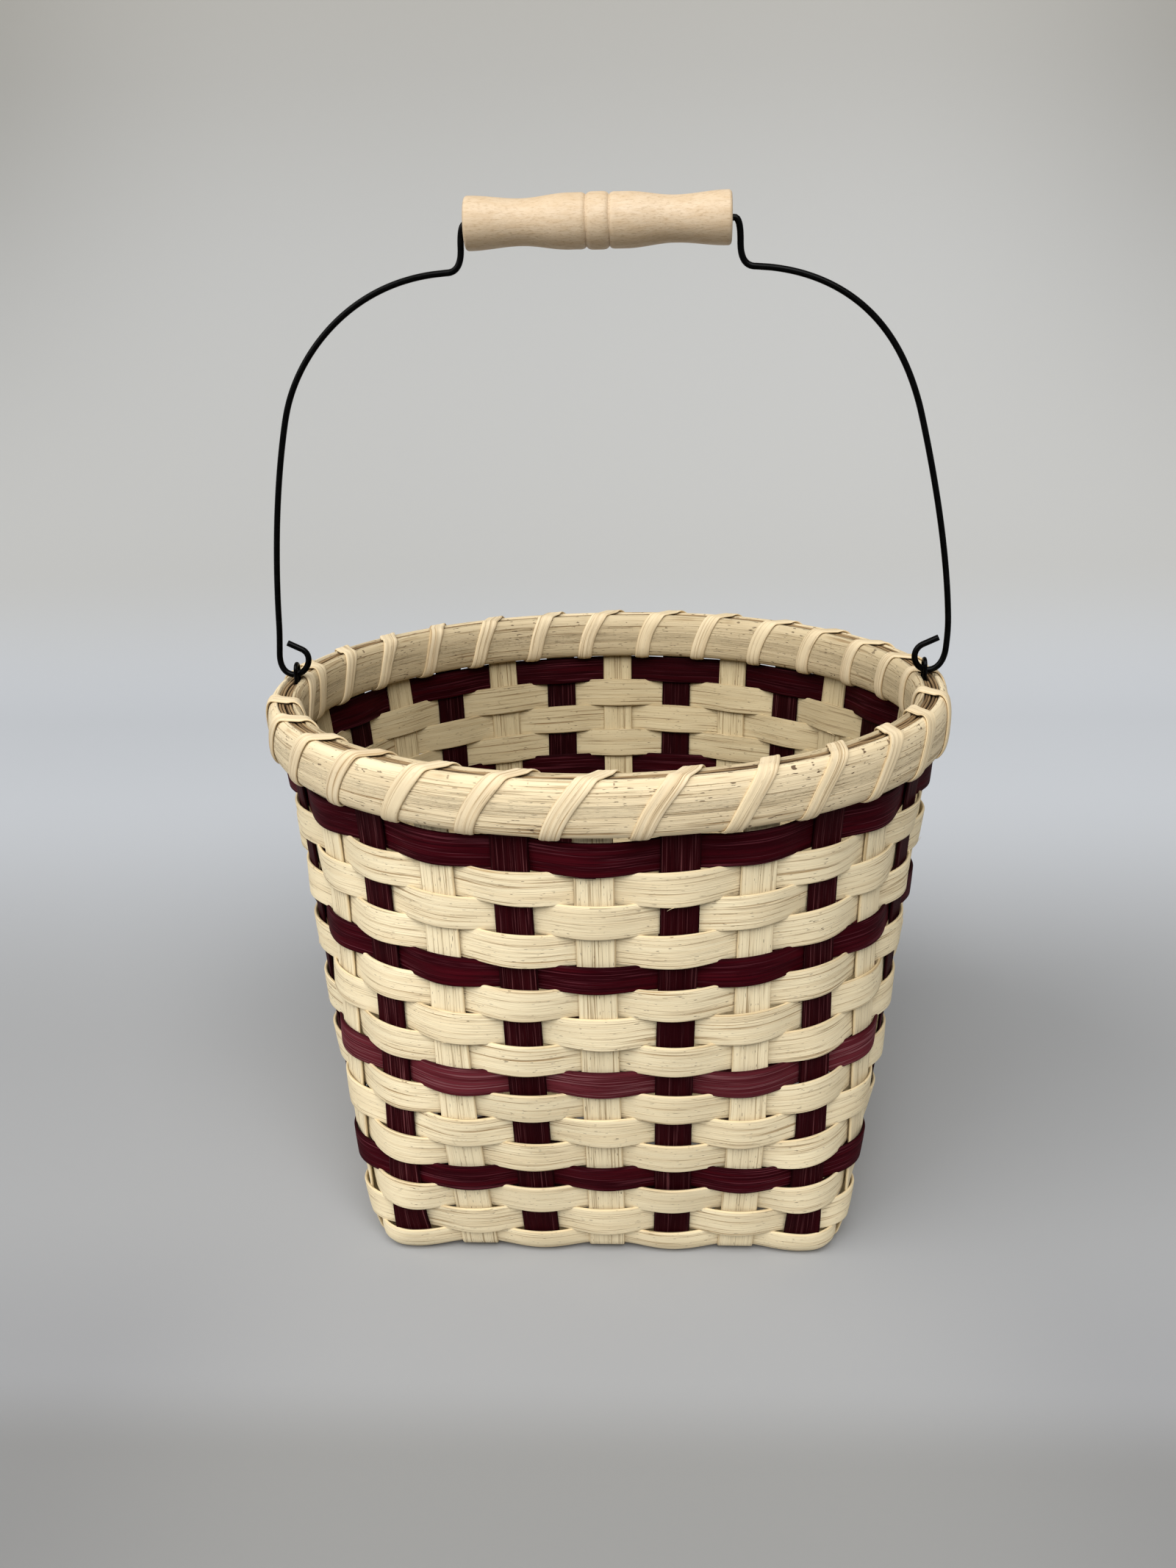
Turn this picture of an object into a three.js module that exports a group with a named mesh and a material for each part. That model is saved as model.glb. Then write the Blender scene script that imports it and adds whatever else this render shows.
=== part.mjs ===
// Square-to-round snack basket woven from flat reed, with a wire bail and a turned wooden grip.
// Millimetres, +Z up, origin on the floor under the middle of the base.
// +X is the right-hand ear of the bail, +Y is the back of the basket.
import * as THREE from 'three';

// Flat reed: the stakes cross in the base and stand up in the wall, the weavers go round them.
const stakeWidth = 12.7;
const stakeThickness = 1.15;
const weaverThickness = 1.1;
const naturalWeaverWidth = 10.9;
const dyedWeaverWidth = 9.05;
const reedClearance = 0.33;
const rowGap = 0.45;

// Base: seven strips each way, centre to centre, woven over one and under one.
const stripsPerSide = 7;
const stripPitch = 23.0;

// Wall: a rounded square at the foot that opens into a circle under the rim. The foot's reach is
// measured from the middle of the outermost strip.
const footReach = 13.2;
const footCornerRadius = 6.4;
const footBendRadius = 5.9;
const wallTopRadius = 119.2;
const wallHeight = 174.2;
const wallBow = 0.34;
const cornerEasing = 1.8;

// Rows of weaving: as many as fit under the rim, and one more that is hidden between the hoops.
// Every fourth one is dyed. The top row is as wide as a natural one.
const dyedRowEvery = 4;
const firstRowStart = 2.6;
const hiddenRowLift = 1.0;
const weaverEdgeMargin = 0.4;

// Rim: an outer and an inner hoop with a slot between them for the stakes and the filler.
const rimHeight = 18.6;
const rimThickness = 3.75;
const rimSlotClearance = 0.245;
const rimEdgeRise = 3.4;
const rimEdgeInset = 1.2;
const stakeTopBelowRim = 3.0;
const fillerTopBelowRim = 0.3;

// Lashing: one flat strip wound round both hoops, once for each gap between stakes. Its last
// stretch, under the inner hoop, is shorter by the trim's share, so that the two ends stay apart.
const lashingWidth = 6.0;
const lashingThickness = 0.9;
const lashingClearance = 0.3;
const lashingEarClearance = 2.9;
const lashingPushSpan = 0.25;
const lashingEndTrim = 0.3;

// Ears: a hairpin of wire on each side, held between the middle stake and the inner hoop.
const earWireRadius = 0.75;
const earLegSpread = 2.4;
const earTopAboveRim = 6.6;
const earLegDepth = 14.0;

// Bail: one wire with a hook at each end. The hook's heights are measured from the pivot.
const bailWireRadius = 1.05;
const pivotAboveRim = 2.5;
const hookOffset = 1.1;
const hookHalfWidth = 5.7;
const hookArmHeight = 8.2;
const hookCurlInset = 3.0;
const hookCurlHeight = 9.6;
const hookTipReach = 2.6;
const hookTipHeight = 12.2;

// Arm and shoulder: the arm leans in to the elbow and bends over to the shoulder.
const gripAxisAbovePivot = 158.8;
const riserBend = 2.4;
const riserDrop = 15.0;
const shoulderRun = 10.1;
const shoulderDip = 1.2;
const elbowInset = 5.4;
const elbowHeight = 93.1;

// How far each curved stretch of the bail follows the tangent at its ends.
const hookArmPull = 5.0;
const hookFootOuterPull = 3.6;
const hookFootInnerPull = 4.8;
const curlPullOut = 4.6;
const curlPullDown = 2.6;
const shoulderPullOut = 27.9;
const shoulderPullDown = 3.5;
const elbowPullIn = 6.1;
const elbowPullUp = 24.5;
const armPullUp = 28.4;

// Grip: radii, and distances along it from its middle.
const gripLength = 92.6;
const gripBoreClearance = 0.4;
const gripEndClearance = 0.55;
const gripBeadWidth = 8.1;
const gripBeadRadius = 10.05;
const gripBeadEase = 0.9;
const gripGrooveRadius = 8.9;
const gripGrooveWidth = 1.8;
const gripSwellRadius = 9.9;
const gripSwellPlace = 9.7;
const gripWaistRadius = 8.4;
const gripWaistPlace = 26.4;
const gripEndRadius = 9.6;
const gripEdgeRadius = 1.2;

// Worked out from the values above.
const sides = 4;
const halfCount = (stripsPerSide - 1) / 2;
const stakeCount = sides * stripsPerSide;
const footHalfWidth = halfCount * stripPitch + footReach;
const topPitch = (Math.PI / 2) * wallTopRadius / stripsPerSide;
const baseMiddle = stakeThickness + reedClearance / 2;
const weaverOffset = stakeThickness / 2 + reedClearance + weaverThickness / 2;
const rimBottom = wallHeight;
const rimTop = rimBottom + rimHeight;
const besideStake = Math.max(weaverThickness, 2 * earWireRadius);
const rimSlotHalf = stakeThickness / 2 + reedClearance + besideStake + rimSlotClearance;
const earRadius = wallTopRadius - stakeThickness / 2 - reedClearance - earWireRadius;
const lashingEarPush = earLegSpread + earWireRadius + lashingWidth / 2 + lashingEarClearance;
const pivotHeight = rimTop + pivotAboveRim;
const gripAxisHeight = pivotHeight + gripAxisAbovePivot;

const lerp = THREE.MathUtils.lerp;
const clamp = THREE.MathUtils.clamp;
const up = new THREE.Vector3(0, 0, 1);

// Materials.
function reedMaterial(name, color) {
  return new THREE.MeshStandardMaterial({ name, color, roughness: 0.75, metalness: 0 });
}

const naturalReed = reedMaterial('natural_reed', 0xeadfbb);
const dyedReed = reedMaterial('dyed_reed', 0x521522);
const rimReed = reedMaterial('rim_reed', 0xdfd0a4);
const fillerReed = reedMaterial('filler_strand', 0xa88a5e);
const lashingReed = reedMaterial('lashing_reed', 0xe4cfa6);
const gripWood = reedMaterial('turned_wood', 0xddc39a);
const blackWire = new THREE.MeshStandardMaterial({
  name: 'black_wire',
  color: 0x0d0d0e,
  roughness: 0.3,
  metalness: 0.6,
});

// Joins a row of like sections into one closed skin; a loop joins the last section to the first.
function sweep(sections, isLoop) {
  const count = sections[0].length;
  const positions = [];
  for (const section of sections) {
    for (const point of section) {
      positions.push(point.x, point.y, point.z);
    }
  }
  const index = [];
  const spans = isLoop ? sections.length : sections.length - 1;
  for (let i = 0; i < spans; i++) {
    const here = i * count;
    const next = ((i + 1) % sections.length) * count;
    for (let j = 0; j < count; j++) {
      const k = (j + 1) % count;
      index.push(here + j, here + k, next + k);
      index.push(here + j, next + k, next + j);
    }
  }
  if (!isLoop) {
    const end = (sections.length - 1) * count;
    for (let j = 1; j < count - 1; j++) {
      index.push(0, j + 1, j);
      index.push(end, end + j, end + j + 1);
    }
  }
  if (enclosedVolume(positions, index) < 0) {
    index.reverse();
  }
  const geometry = new THREE.BufferGeometry();
  geometry.setAttribute('position', new THREE.Float32BufferAttribute(positions, 3));
  geometry.setIndex(index);
  geometry.computeVertexNormals();
  return geometry;
}

function enclosedVolume(positions, index) {
  const a = new THREE.Vector3();
  const b = new THREE.Vector3();
  const c = new THREE.Vector3();
  let volume = 0;
  for (let i = 0; i < index.length; i += 3) {
    a.fromArray(positions, 3 * index[i]);
    b.fromArray(positions, 3 * index[i + 1]);
    c.fromArray(positions, 3 * index[i + 2]);
    volume += a.dot(b.cross(c)) / 6;
  }
  return volume;
}

// Half-width of the wall at a height: a straight lean with a little outward bow.
function wallHalfWidth(z) {
  const t = Math.min(z / wallHeight, 1);
  const bowed = t * (1 - wallBow) + wallBow * (1 - (1 - t) ** 2);
  return lerp(footHalfWidth, wallTopRadius, bowed);
}

// Side view of the wall's middle surface: out of the base, round the foot bend, up the lean,
// then straight up between the rim hoops. Each entry holds the length along it.
function wallProfile() {
  const footSlope = (wallTopRadius - footHalfWidth) * (1 + wallBow) / wallHeight;
  const turn = Math.PI / 2 - Math.atan(footSlope);
  const bendEnd = baseMiddle + footBendRadius * (1 - Math.cos(turn));
  const bendCentre = wallHalfWidth(bendEnd) - footBendRadius * Math.sin(turn);
  const bendSteps = 24;
  const heightStep = 0.5;
  const entries = [];
  for (let i = 0; i <= bendSteps; i++) {
    const angle = turn * i / bendSteps;
    const w = bendCentre + footBendRadius * Math.sin(angle);
    const z = baseMiddle + footBendRadius * (1 - Math.cos(angle));
    entries.push({ w, z, s: footBendRadius * angle });
  }
  for (let z = bendEnd + heightStep; z < rimTop + heightStep; z += heightStep) {
    const last = entries[entries.length - 1];
    const w = wallHalfWidth(z);
    entries.push({ w, z, s: last.s + Math.hypot(w - last.w, z - last.z) });
  }
  return { entries, bendLength: footBendRadius * turn };
}

const profile = wallProfile();

// Half-width and height at a length along the wall; before zero it runs on into the flat base.
function wallAt(s) {
  const entries = profile.entries;
  if (s <= 0) {
    return { w: entries[0].w + s, z: entries[0].z };
  }
  let i = 1;
  while (i < entries.length - 1 && entries[i].s < s) {
    i++;
  }
  const a = entries[i - 1];
  const b = entries[i];
  const share = (s - a.s) / (b.s - a.s);
  return { w: lerp(a.w, b.w, share), z: lerp(a.z, b.z, share) };
}

function lengthAtHeight(z) {
  const entries = profile.entries;
  let i = 1;
  while (i < entries.length - 1 && entries[i].z < z) {
    i++;
  }
  const a = entries[i - 1];
  const b = entries[i];
  return lerp(a.s, b.s, (z - a.z) / (b.z - a.z));
}

function heightShare(z) {
  return clamp(z / wallHeight, 0, 1);
}

// The corner's radius grows from the foot until the section is a full circle.
function cornerRadius(w, z) {
  const growth = 1 - (1 - heightShare(z)) ** cornerEasing;
  return lerp(Math.min(footCornerRadius, w), w, growth);
}

// A point of the wall: side 0 is the front, 1 the right, 2 the back, 3 the left.
// lateral is measured round the section from the middle of that side.
function wallPoint(side, lateral, s) {
  const { w, z } = wallAt(s);
  const r = cornerRadius(w, z);
  const flat = w - r;
  const beyond = Math.max(Math.abs(lateral) - flat, 0);
  const angle = beyond / r;
  const across = Math.sign(lateral) * (Math.min(Math.abs(lateral), flat) + r * Math.sin(angle));
  const out = flat + r * Math.cos(angle);
  return new THREE.Vector3(across, -out, z).applyAxisAngle(up, side * Math.PI / 2);
}

function stakeLateral(place, s) {
  const { z } = wallAt(s);
  return place * lerp(stripPitch, topPitch, heightShare(z));
}

function cornerLateral(s) {
  const { w, z } = wallAt(s);
  const r = cornerRadius(w, z);
  return (w - r) + r * Math.PI / 4;
}

// Centre, sideways direction and outward direction of the wall where a lateral line crosses s.
function wallFrame(side, lateralAt, s) {
  const step = 0.05;
  const lateral = lateralAt(s);
  const centre = wallPoint(side, lateral, s);
  const sideways = wallPoint(side, lateral + step, s).sub(wallPoint(side, lateral - step, s));
  const below = wallPoint(side, lateralAt(s - step), s - step);
  const climb = wallPoint(side, lateralAt(s + step), s + step).sub(below);
  const outward = sideways.cross(climb).normalize();
  const across = climb.cross(outward).normalize();
  return { centre, across, outward };
}

// Where each row of weaving lies along the wall.
function rowWidth(row) {
  return row % dyedRowEvery === 0 ? dyedWeaverWidth : naturalWeaverWidth;
}

function rowsUnderRim() {
  const lashingBottom = rimBottom - lashingClearance - lashingThickness;
  const room = lengthAtHeight(lashingBottom - reedClearance);
  let rows = 0;
  let low = firstRowStart;
  while (low + naturalWeaverWidth <= room) {
    rows++;
    low += rowWidth(rows) + rowGap;
  }
  return rows;
}

const visibleRows = rowsUnderRim();

function rowSpan(row) {
  if (row > visibleRows) {
    const low = lengthAtHeight(rimBottom) + hiddenRowLift;
    return { low, high: low + rowWidth(row) };
  }
  let low = firstRowStart;
  for (let i = 1; i < row; i++) {
    low += rowWidth(i) + rowGap;
  }
  const width = row === visibleRows ? naturalWeaverWidth : rowWidth(row);
  return { low, high: low + width };
}

// Dyed and natural stakes take turns all round the basket.
function isDyedPlace(side, place) {
  return (side + place) % 2 !== 0;
}

// Odd rows pass outside the dyed stakes, even rows outside the natural ones. The hidden row leaves
// room for the ears inside their dyed stakes.
function weaverSide(row, side, place) {
  const isOutsideDyed = row % 2 === 1 || row > visibleRows;
  return isDyedPlace(side, place) === isOutsideDyed ? 1 : -1;
}

// Lengths along the wall at which a lateral line gets a section. Lines near a corner turn more
// on their way up, so they get a section at more rows.
function sectionLengths(rowsPerSection) {
  const bendSections = 3;
  const lengths = [];
  for (let i = 0; i <= bendSections; i++) {
    lengths.push(profile.bendLength * i / bendSections);
  }
  for (let row = 1; row < visibleRows; row += rowsPerSection) {
    lengths.push(rowSpan(row).high + rowGap / 2);
  }
  lengths.push(lengthAtHeight(rimBottom));
  lengths.push(lengthAtHeight(rimTop - stakeTopBelowRim));
  return lengths;
}

// A lateral line up the wall as straight stretches between its sections.
function wallLine(side, lateralAt, rowsPerSection) {
  const lengths = sectionLengths(rowsPerSection);
  return { lengths, frames: lengths.map((s) => wallFrame(side, lateralAt, s)) };
}

function frameOnLine(line, s) {
  let i = 1;
  while (i < line.lengths.length - 1 && line.lengths[i] < s) {
    i++;
  }
  const share = (s - line.lengths[i - 1]) / (line.lengths[i] - line.lengths[i - 1]);
  const a = line.frames[i - 1];
  const b = line.frames[i];
  return {
    centre: a.centre.clone().lerp(b.centre, share),
    across: a.across.clone().lerp(b.across, share).normalize(),
    outward: a.outward.clone().lerp(b.outward, share).normalize(),
  };
}

function stakeLine(side, place) {
  const fromCorner = halfCount - Math.abs(place);
  const rowsPerSection = [1, 1, 2][fromCorner] ?? 5;
  return wallLine(side, (s) => stakeLateral(place, s), rowsPerSection);
}

const stakeLines = [];
const cornerLines = [];
for (let side = 0; side < sides; side++) {
  const lines = new Map();
  for (let place = -halfCount; place <= halfCount; place++) {
    lines.set(place, stakeLine(side, place));
  }
  stakeLines.push(lines);
  cornerLines.push(wallLine(side, cornerLateral, 1));
}

// One weaver: a hoop that is bent straight past each stake and crosses over in each gap.
// Above the foot bend its edges stay level, and it is set off level from the stake's face.
function weaverHoop(row) {
  const { low, high } = rowSpan(row);
  const inBend = sectionLengths(1).filter((s) => s > low && s <= profile.bendLength && s < high);
  const lengths = [low, ...inBend, high];
  const halfPass = stakeWidth / 2 + weaverEdgeMargin;
  const sections = [];
  const addSection = (line, along, offset) => {
    const outer = [];
    const inner = [];
    for (const s of lengths) {
      const { centre, outward } = frameOnLine(line, s);
      const levelOut = outward.clone().setZ(0).normalize();
      const sideways = up.clone().cross(levelOut);
      const isAboveBend = s > profile.bendLength;
      const depth = isAboveBend ? levelOut.clone().divideScalar(outward.dot(levelOut)) : outward;
      const middle = centre.clone().addScaledVector(sideways, along);
      outer.push(middle.clone().addScaledVector(depth, offset + weaverThickness / 2));
      inner.push(middle.clone().addScaledVector(depth, offset - weaverThickness / 2));
    }
    sections.push([...outer, ...inner.reverse()]);
  };
  for (let side = 0; side < sides; side++) {
    for (let place = -halfCount; place <= halfCount; place++) {
      const line = stakeLines[side].get(place);
      const offset = weaverSide(row, side, place) * weaverOffset;
      addSection(line, -halfPass, offset);
      addSection(line, halfPass, offset);
    }
    addSection(cornerLines[side], 0, 0);
  }
  return sweep(sections, true);
}

// One stake: up one wall, across the base over and under the other set, and up the far wall.
// Strips that run front to back lie at x = place * pitch, the others at y = place * pitch.
function stakeStrip(runsFrontToBack, place) {
  const nearSide = runsFrontToBack ? 0 : 3;
  const farSide = (nearSide + 2) % sides;
  const nearPlace = runsFrontToBack ? place : -place;
  const along = runsFrontToBack ? new THREE.Vector3(0, 1, 0) : new THREE.Vector3(1, 0, 0);
  const across = along.clone().cross(up);
  const sideways = runsFrontToBack ? new THREE.Vector3(1, 0, 0) : new THREE.Vector3(0, 1, 0);
  const sections = [];
  const addSection = (centre, edge, outward) => {
    const toEdge = edge.clone().multiplyScalar(stakeWidth / 2);
    sections.push(flatSection(centre, toEdge, outward, stakeThickness));
  };
  for (const frame of [...stakeLines[nearSide].get(nearPlace).frames].reverse()) {
    addSection(frame.centre, frame.across, frame.outward);
  }
  const down = up.clone().negate();
  const lift = (stakeThickness + reedClearance) / 2;
  for (let crossing = -halfCount; crossing <= halfCount; crossing++) {
    const isOver = ((place + crossing) % 2 !== 0) === runsFrontToBack;
    for (const edge of [-1, 1]) {
      const centre = new THREE.Vector3(0, 0, baseMiddle + (isOver ? lift : -lift));
      centre.addScaledVector(along, crossing * stripPitch + edge * (stakeWidth / 2 + weaverEdgeMargin));
      centre.addScaledVector(sideways, place * stripPitch);
      addSection(centre, across, down);
    }
  }
  for (const frame of stakeLines[farSide].get(-nearPlace).frames) {
    addSection(frame.centre, frame.across.clone().negate(), frame.outward);
  }
  return sweep(sections, false);
}

// The four corners of a flat reed's section; across reaches to one edge of it.
function flatSection(centre, across, outward, thickness) {
  const depth = outward.clone().multiplyScalar(thickness / 2);
  return [
    centre.clone().add(across).add(depth),
    centre.clone().add(across).sub(depth),
    centre.clone().sub(across).sub(depth),
    centre.clone().sub(across).add(depth),
  ];
}

// A point over the rim: radial is measured from the middle of the slot, outwards.
function rimPoint(angle, radial, z) {
  const radius = wallTopRadius + radial;
  return new THREE.Vector3(radius * Math.cos(angle), radius * Math.sin(angle), z);
}

// The hoops' corners stand at the stakes and half-way between them.
const hoopCorners = 2 * stakeCount;
const hoopStep = 2 * Math.PI / hoopCorners;

// One rim hoop, flat towards the slot and eased off on its free face; outward is 1 or -1.
function rimHoop(outward) {
  const near = rimSlotHalf;
  const far = rimSlotHalf + rimThickness;
  const outline = [
    [near, rimBottom],
    [far - rimEdgeInset, rimBottom],
    [far, rimBottom + rimEdgeRise],
    [far, rimTop - rimEdgeRise],
    [far - rimEdgeInset, rimTop],
    [near, rimTop],
  ];
  const sections = [];
  for (let i = 0; i < hoopCorners; i++) {
    sections.push(outline.map(([radial, z]) => rimPoint(i * hoopStep, outward * radial, z)));
  }
  return sweep(sections, true);
}

// Two filler strands lie side by side on top of the stakes, between the hoops.
const fillerRadius = (2 * rimSlotHalf - 3 * reedClearance) / 4;
const fillerSides = 4;

function fillerSection(angle, radial) {
  const middle = rimTop - fillerTopBelowRim - fillerRadius;
  const section = [];
  for (let j = 0; j < fillerSides; j++) {
    const around = 2 * Math.PI * (j + 0.5) / fillerSides;
    const z = middle + fillerRadius * Math.sin(around);
    section.push(rimPoint(angle, radial + fillerRadius * Math.cos(around), z));
  }
  return section;
}

const fillerOffset = reedClearance / 2 + fillerRadius;

function outerFiller() {
  const sections = [];
  for (let i = 0; i < hoopCorners; i++) {
    sections.push(fillerSection(i * hoopStep, fillerOffset));
  }
  return sweep(sections, true);
}

// The inner strand stops on both sides of each ear; start is the angle of the ear it leaves.
function innerFiller(start) {
  const half = hoopCorners / 2;
  const earRoom = (earLegSpread + earWireRadius + reedClearance) / earRadius;
  const sections = [];
  for (let i = 0; i <= half; i++) {
    const angle = clamp(i * hoopStep, earRoom, Math.PI - earRoom);
    sections.push(fillerSection(start + angle, -fillerOffset));
  }
  return sweep(sections, false);
}

// The lashing's way round both hoops, as corners of a ring seen end on, outer face first.
function lashingOutline() {
  const gap = lashingClearance + lashingThickness / 2;
  const far = rimSlotHalf + rimThickness;
  const eased = far - rimEdgeInset + gap;
  return [
    [eased, rimBottom - gap],
    [far + gap, rimBottom + rimEdgeRise - gap / 2],
    [far + gap, rimTop - rimEdgeRise + gap / 2],
    [eased, rimTop + gap],
    [-eased, rimTop + gap],
    [-far - gap, rimTop - rimEdgeRise + gap / 2],
    [-far - gap, rimBottom + rimEdgeRise - gap / 2],
    [-eased, rimBottom - gap],
  ];
}

// Share of one turn at each corner of the outline, counted from under the middle of the slot.
function lashingShares(outline) {
  const count = outline.length;
  const lengths = [Math.abs(outline[0][0])];
  for (let i = 1; i < count; i++) {
    const stretch = Math.hypot(outline[i][0] - outline[i - 1][0], outline[i][1] - outline[i - 1][1]);
    lengths.push(lengths[i - 1] + stretch);
  }
  const whole = lengths[count - 1] + Math.abs(outline[count - 1][0]);
  return lengths.map((length) => length / whole);
}

// The strip crosses under the rim half-way between two stakes and over it at a stake.
// Beside each ear it is pushed to the back, so that it lies just behind the ear.
function lashingAngle(turns) {
  const perTurn = 2 * Math.PI / stakeCount;
  const plain = (turns - 0.5) * perTurn;
  const push = lashingEarPush / wallTopRadius;
  let angle = plain;
  for (const ear of [0, Math.PI, 2 * Math.PI]) {
    const away = (plain - ear) / perTurn;
    const towardsBack = ear === Math.PI ? -1 : 1;
    angle += towardsBack * push * Math.exp(-((away / lashingPushSpan) ** 2));
  }
  return angle;
}

function rimLashing() {
  const outline = lashingOutline();
  const shares = lashingShares(outline);
  const centreAt = (index) => {
    const turn = Math.floor(index / outline.length);
    const corner = index - turn * outline.length;
    const [radial, z] = outline[corner];
    return rimPoint(lashingAngle(turn + shares[corner]), radial, z);
  };
  const count = stakeCount * outline.length;
  const sections = [];
  for (let i = 0; i < count; i++) {
    const corner = i % outline.length;
    const centre = centreAt(i);
    if (i === count - 1) {
      centre.lerp(centreAt(i - 1), lashingEndTrim);
    }
    const arriving = centre.clone().sub(centreAt(i - 1)).normalize();
    const leaving = centreAt(i + 1).sub(centre).normalize();
    const crease = up.clone().cross(centre).normalize();
    const slant = (arriving.dot(crease) + leaving.dot(crease)) / 2;
    crease.multiplyScalar(lashingWidth / 2 / Math.sqrt(1 - slant * slant));
    const { outward, mitre } = lashingOutward(outline, corner, centre);
    sections.push(flatSection(centre, crease, outward, lashingThickness * mitre));
  }
  return sweep(sections, false);
}

// Away from the rim at a corner of the lashing's outline, half-way between its two stretches,
// and how much longer the thickness is along that mitre.
function lashingOutward(outline, corner, centre) {
  const count = outline.length;
  const [r0, z0] = outline[(corner + count - 1) % count];
  const [r1, z1] = outline[corner];
  const [r2, z2] = outline[(corner + 1) % count];
  const inLength = Math.hypot(r1 - r0, z1 - z0);
  const outLength = Math.hypot(r2 - r1, z2 - z1);
  const radialRun = (r1 - r0) / inLength + (r2 - r1) / outLength;
  const heightRun = (z1 - z0) / inLength + (z2 - z1) / outLength;
  const outward = new THREE.Vector3(centre.x, centre.y, 0).normalize();
  outward.multiplyScalar(heightRun).addScaledVector(up, -radialRun).normalize();
  return { outward, mitre: 2 / Math.hypot(radialRun, heightRun) };
}

// A round wire through planar points; crosswise is the direction square to that plane.
function wireAlong(points, crosswise, radius) {
  const wireSides = 6;
  const sections = [];
  for (let i = 0; i < points.length; i++) {
    const before = points[Math.max(i - 1, 0)];
    const after = points[Math.min(i + 1, points.length - 1)];
    const arriving = points[i].clone().sub(before).normalize();
    const leaving = after.clone().sub(points[i]).normalize();
    const along = arriving.add(leaving).normalize();
    const level = crosswise.clone().cross(along).normalize();
    const section = [];
    for (let j = 0; j < wireSides; j++) {
      const around = 2 * Math.PI * (j + 0.5) / wireSides;
      section.push(points[i].clone()
        .addScaledVector(level, radius * Math.cos(around))
        .addScaledVector(crosswise, radius * Math.sin(around)));
    }
    sections.push(section);
  }
  return sweep(sections, false);
}

// An ear is a hairpin in the plane x = constant, with its bend up; side is 1 or -1.
function bailEar(side) {
  const x = side * earRadius;
  const bendCentre = rimTop + earTopAboveRim - earLegSpread;
  const legEnd = rimTop - earLegDepth;
  const bendSteps = 6;
  const points = [new THREE.Vector3(x, -earLegSpread, legEnd)];
  for (let i = 0; i <= bendSteps; i++) {
    const angle = Math.PI * (1 - i / bendSteps);
    const y = earLegSpread * Math.cos(angle);
    points.push(new THREE.Vector3(x, y, bendCentre + earLegSpread * Math.sin(angle)));
  }
  points.push(new THREE.Vector3(x, earLegSpread, legEnd));
  return wireAlong(points, new THREE.Vector3(1, 0, 0), earWireRadius);
}

// Half of the bail's wire, from the middle of the grip to the tip of the right-hand hook:
// out of the bore, down past the grip's end, over the shoulder, down the arm and round the hook.
function bailHalf() {
  const at = (x, z) => new THREE.Vector3(x, 0, z);
  const line = (from, to) => new THREE.LineCurve3(from, to);
  const turn = (from, corner, to) => new THREE.QuadraticBezierCurve3(from, corner, to);
  const bow = (from, first, second, to) => new THREE.CubicBezierCurve3(from, first, second, to);
  const away = (point, x, z) => at(point.x + x, point.z + z);
  const hookX = earRadius + hookOffset;
  const armX = hookX + hookHalfWidth;
  const low = pivotHeight;
  const top = gripAxisHeight;
  const riserX = gripLength / 2 + gripEndClearance + bailWireRadius;
  const middle = at(0, top);
  const bore = at(riserX - riserBend, top);
  const riserTop = at(riserX, top - riserBend);
  const riserLow = at(riserX, top - riserDrop + riserBend);
  const ledge = at(riserX + riserBend, top - riserDrop);
  const shoulder = at(riserX + shoulderRun, top - riserDrop - shoulderDip);
  const elbow = at(hookX - elbowInset, low + elbowHeight);
  const armEnd = at(armX, low + hookArmHeight);
  const foot = at(hookX, low);
  const curl = at(hookX - hookCurlInset, low + hookCurlHeight);
  const tip = at(hookX + hookTipReach, low + hookTipHeight);
  const overShoulder = away(shoulder, shoulderPullOut, -shoulderPullDown);
  const aboveElbow = away(elbow, -elbowPullIn, elbowPullUp);
  const belowElbow = away(elbow, elbowPullIn, -elbowPullUp);
  const aboveHook = away(armEnd, 0, armPullUp);
  const intoHook = away(armEnd, 0, -hookArmPull);
  const outerFoot = away(foot, hookFootOuterPull, 0);
  const innerFoot = away(foot, -hookFootInnerPull, 0);
  const intoCurl = away(curl, -curlPullOut, -curlPullDown);
  const stretches = [
    { curve: line(middle, bore), steps: 1 },
    { curve: turn(bore, at(riserX, top), riserTop), steps: 3 },
    { curve: line(riserTop, riserLow), steps: 1 },
    { curve: turn(riserLow, at(riserX, top - riserDrop), ledge), steps: 3 },
    { curve: line(ledge, shoulder), steps: 1 },
    { curve: bow(shoulder, overShoulder, aboveElbow, elbow), steps: 9 },
    { curve: bow(elbow, belowElbow, aboveHook, armEnd), steps: 6 },
    { curve: bow(armEnd, intoHook, outerFoot, foot), steps: 5 },
    { curve: bow(foot, innerFoot, intoCurl, curl), steps: 6 },
    { curve: line(curl, tip), steps: 1 },
  ];
  const points = [middle];
  for (const { curve, steps } of stretches) {
    for (let i = 1; i <= steps; i++) {
      points.push(curve.getPoint(i / steps));
    }
  }
  return points;
}

function bailWire() {
  const right = bailHalf();
  const left = right.slice(1).reverse().map((point) => new THREE.Vector3(-point.x, 0, point.z));
  return wireAlong([...left, ...right], new THREE.Vector3(0, 1, 0), bailWireRadius);
}

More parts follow.
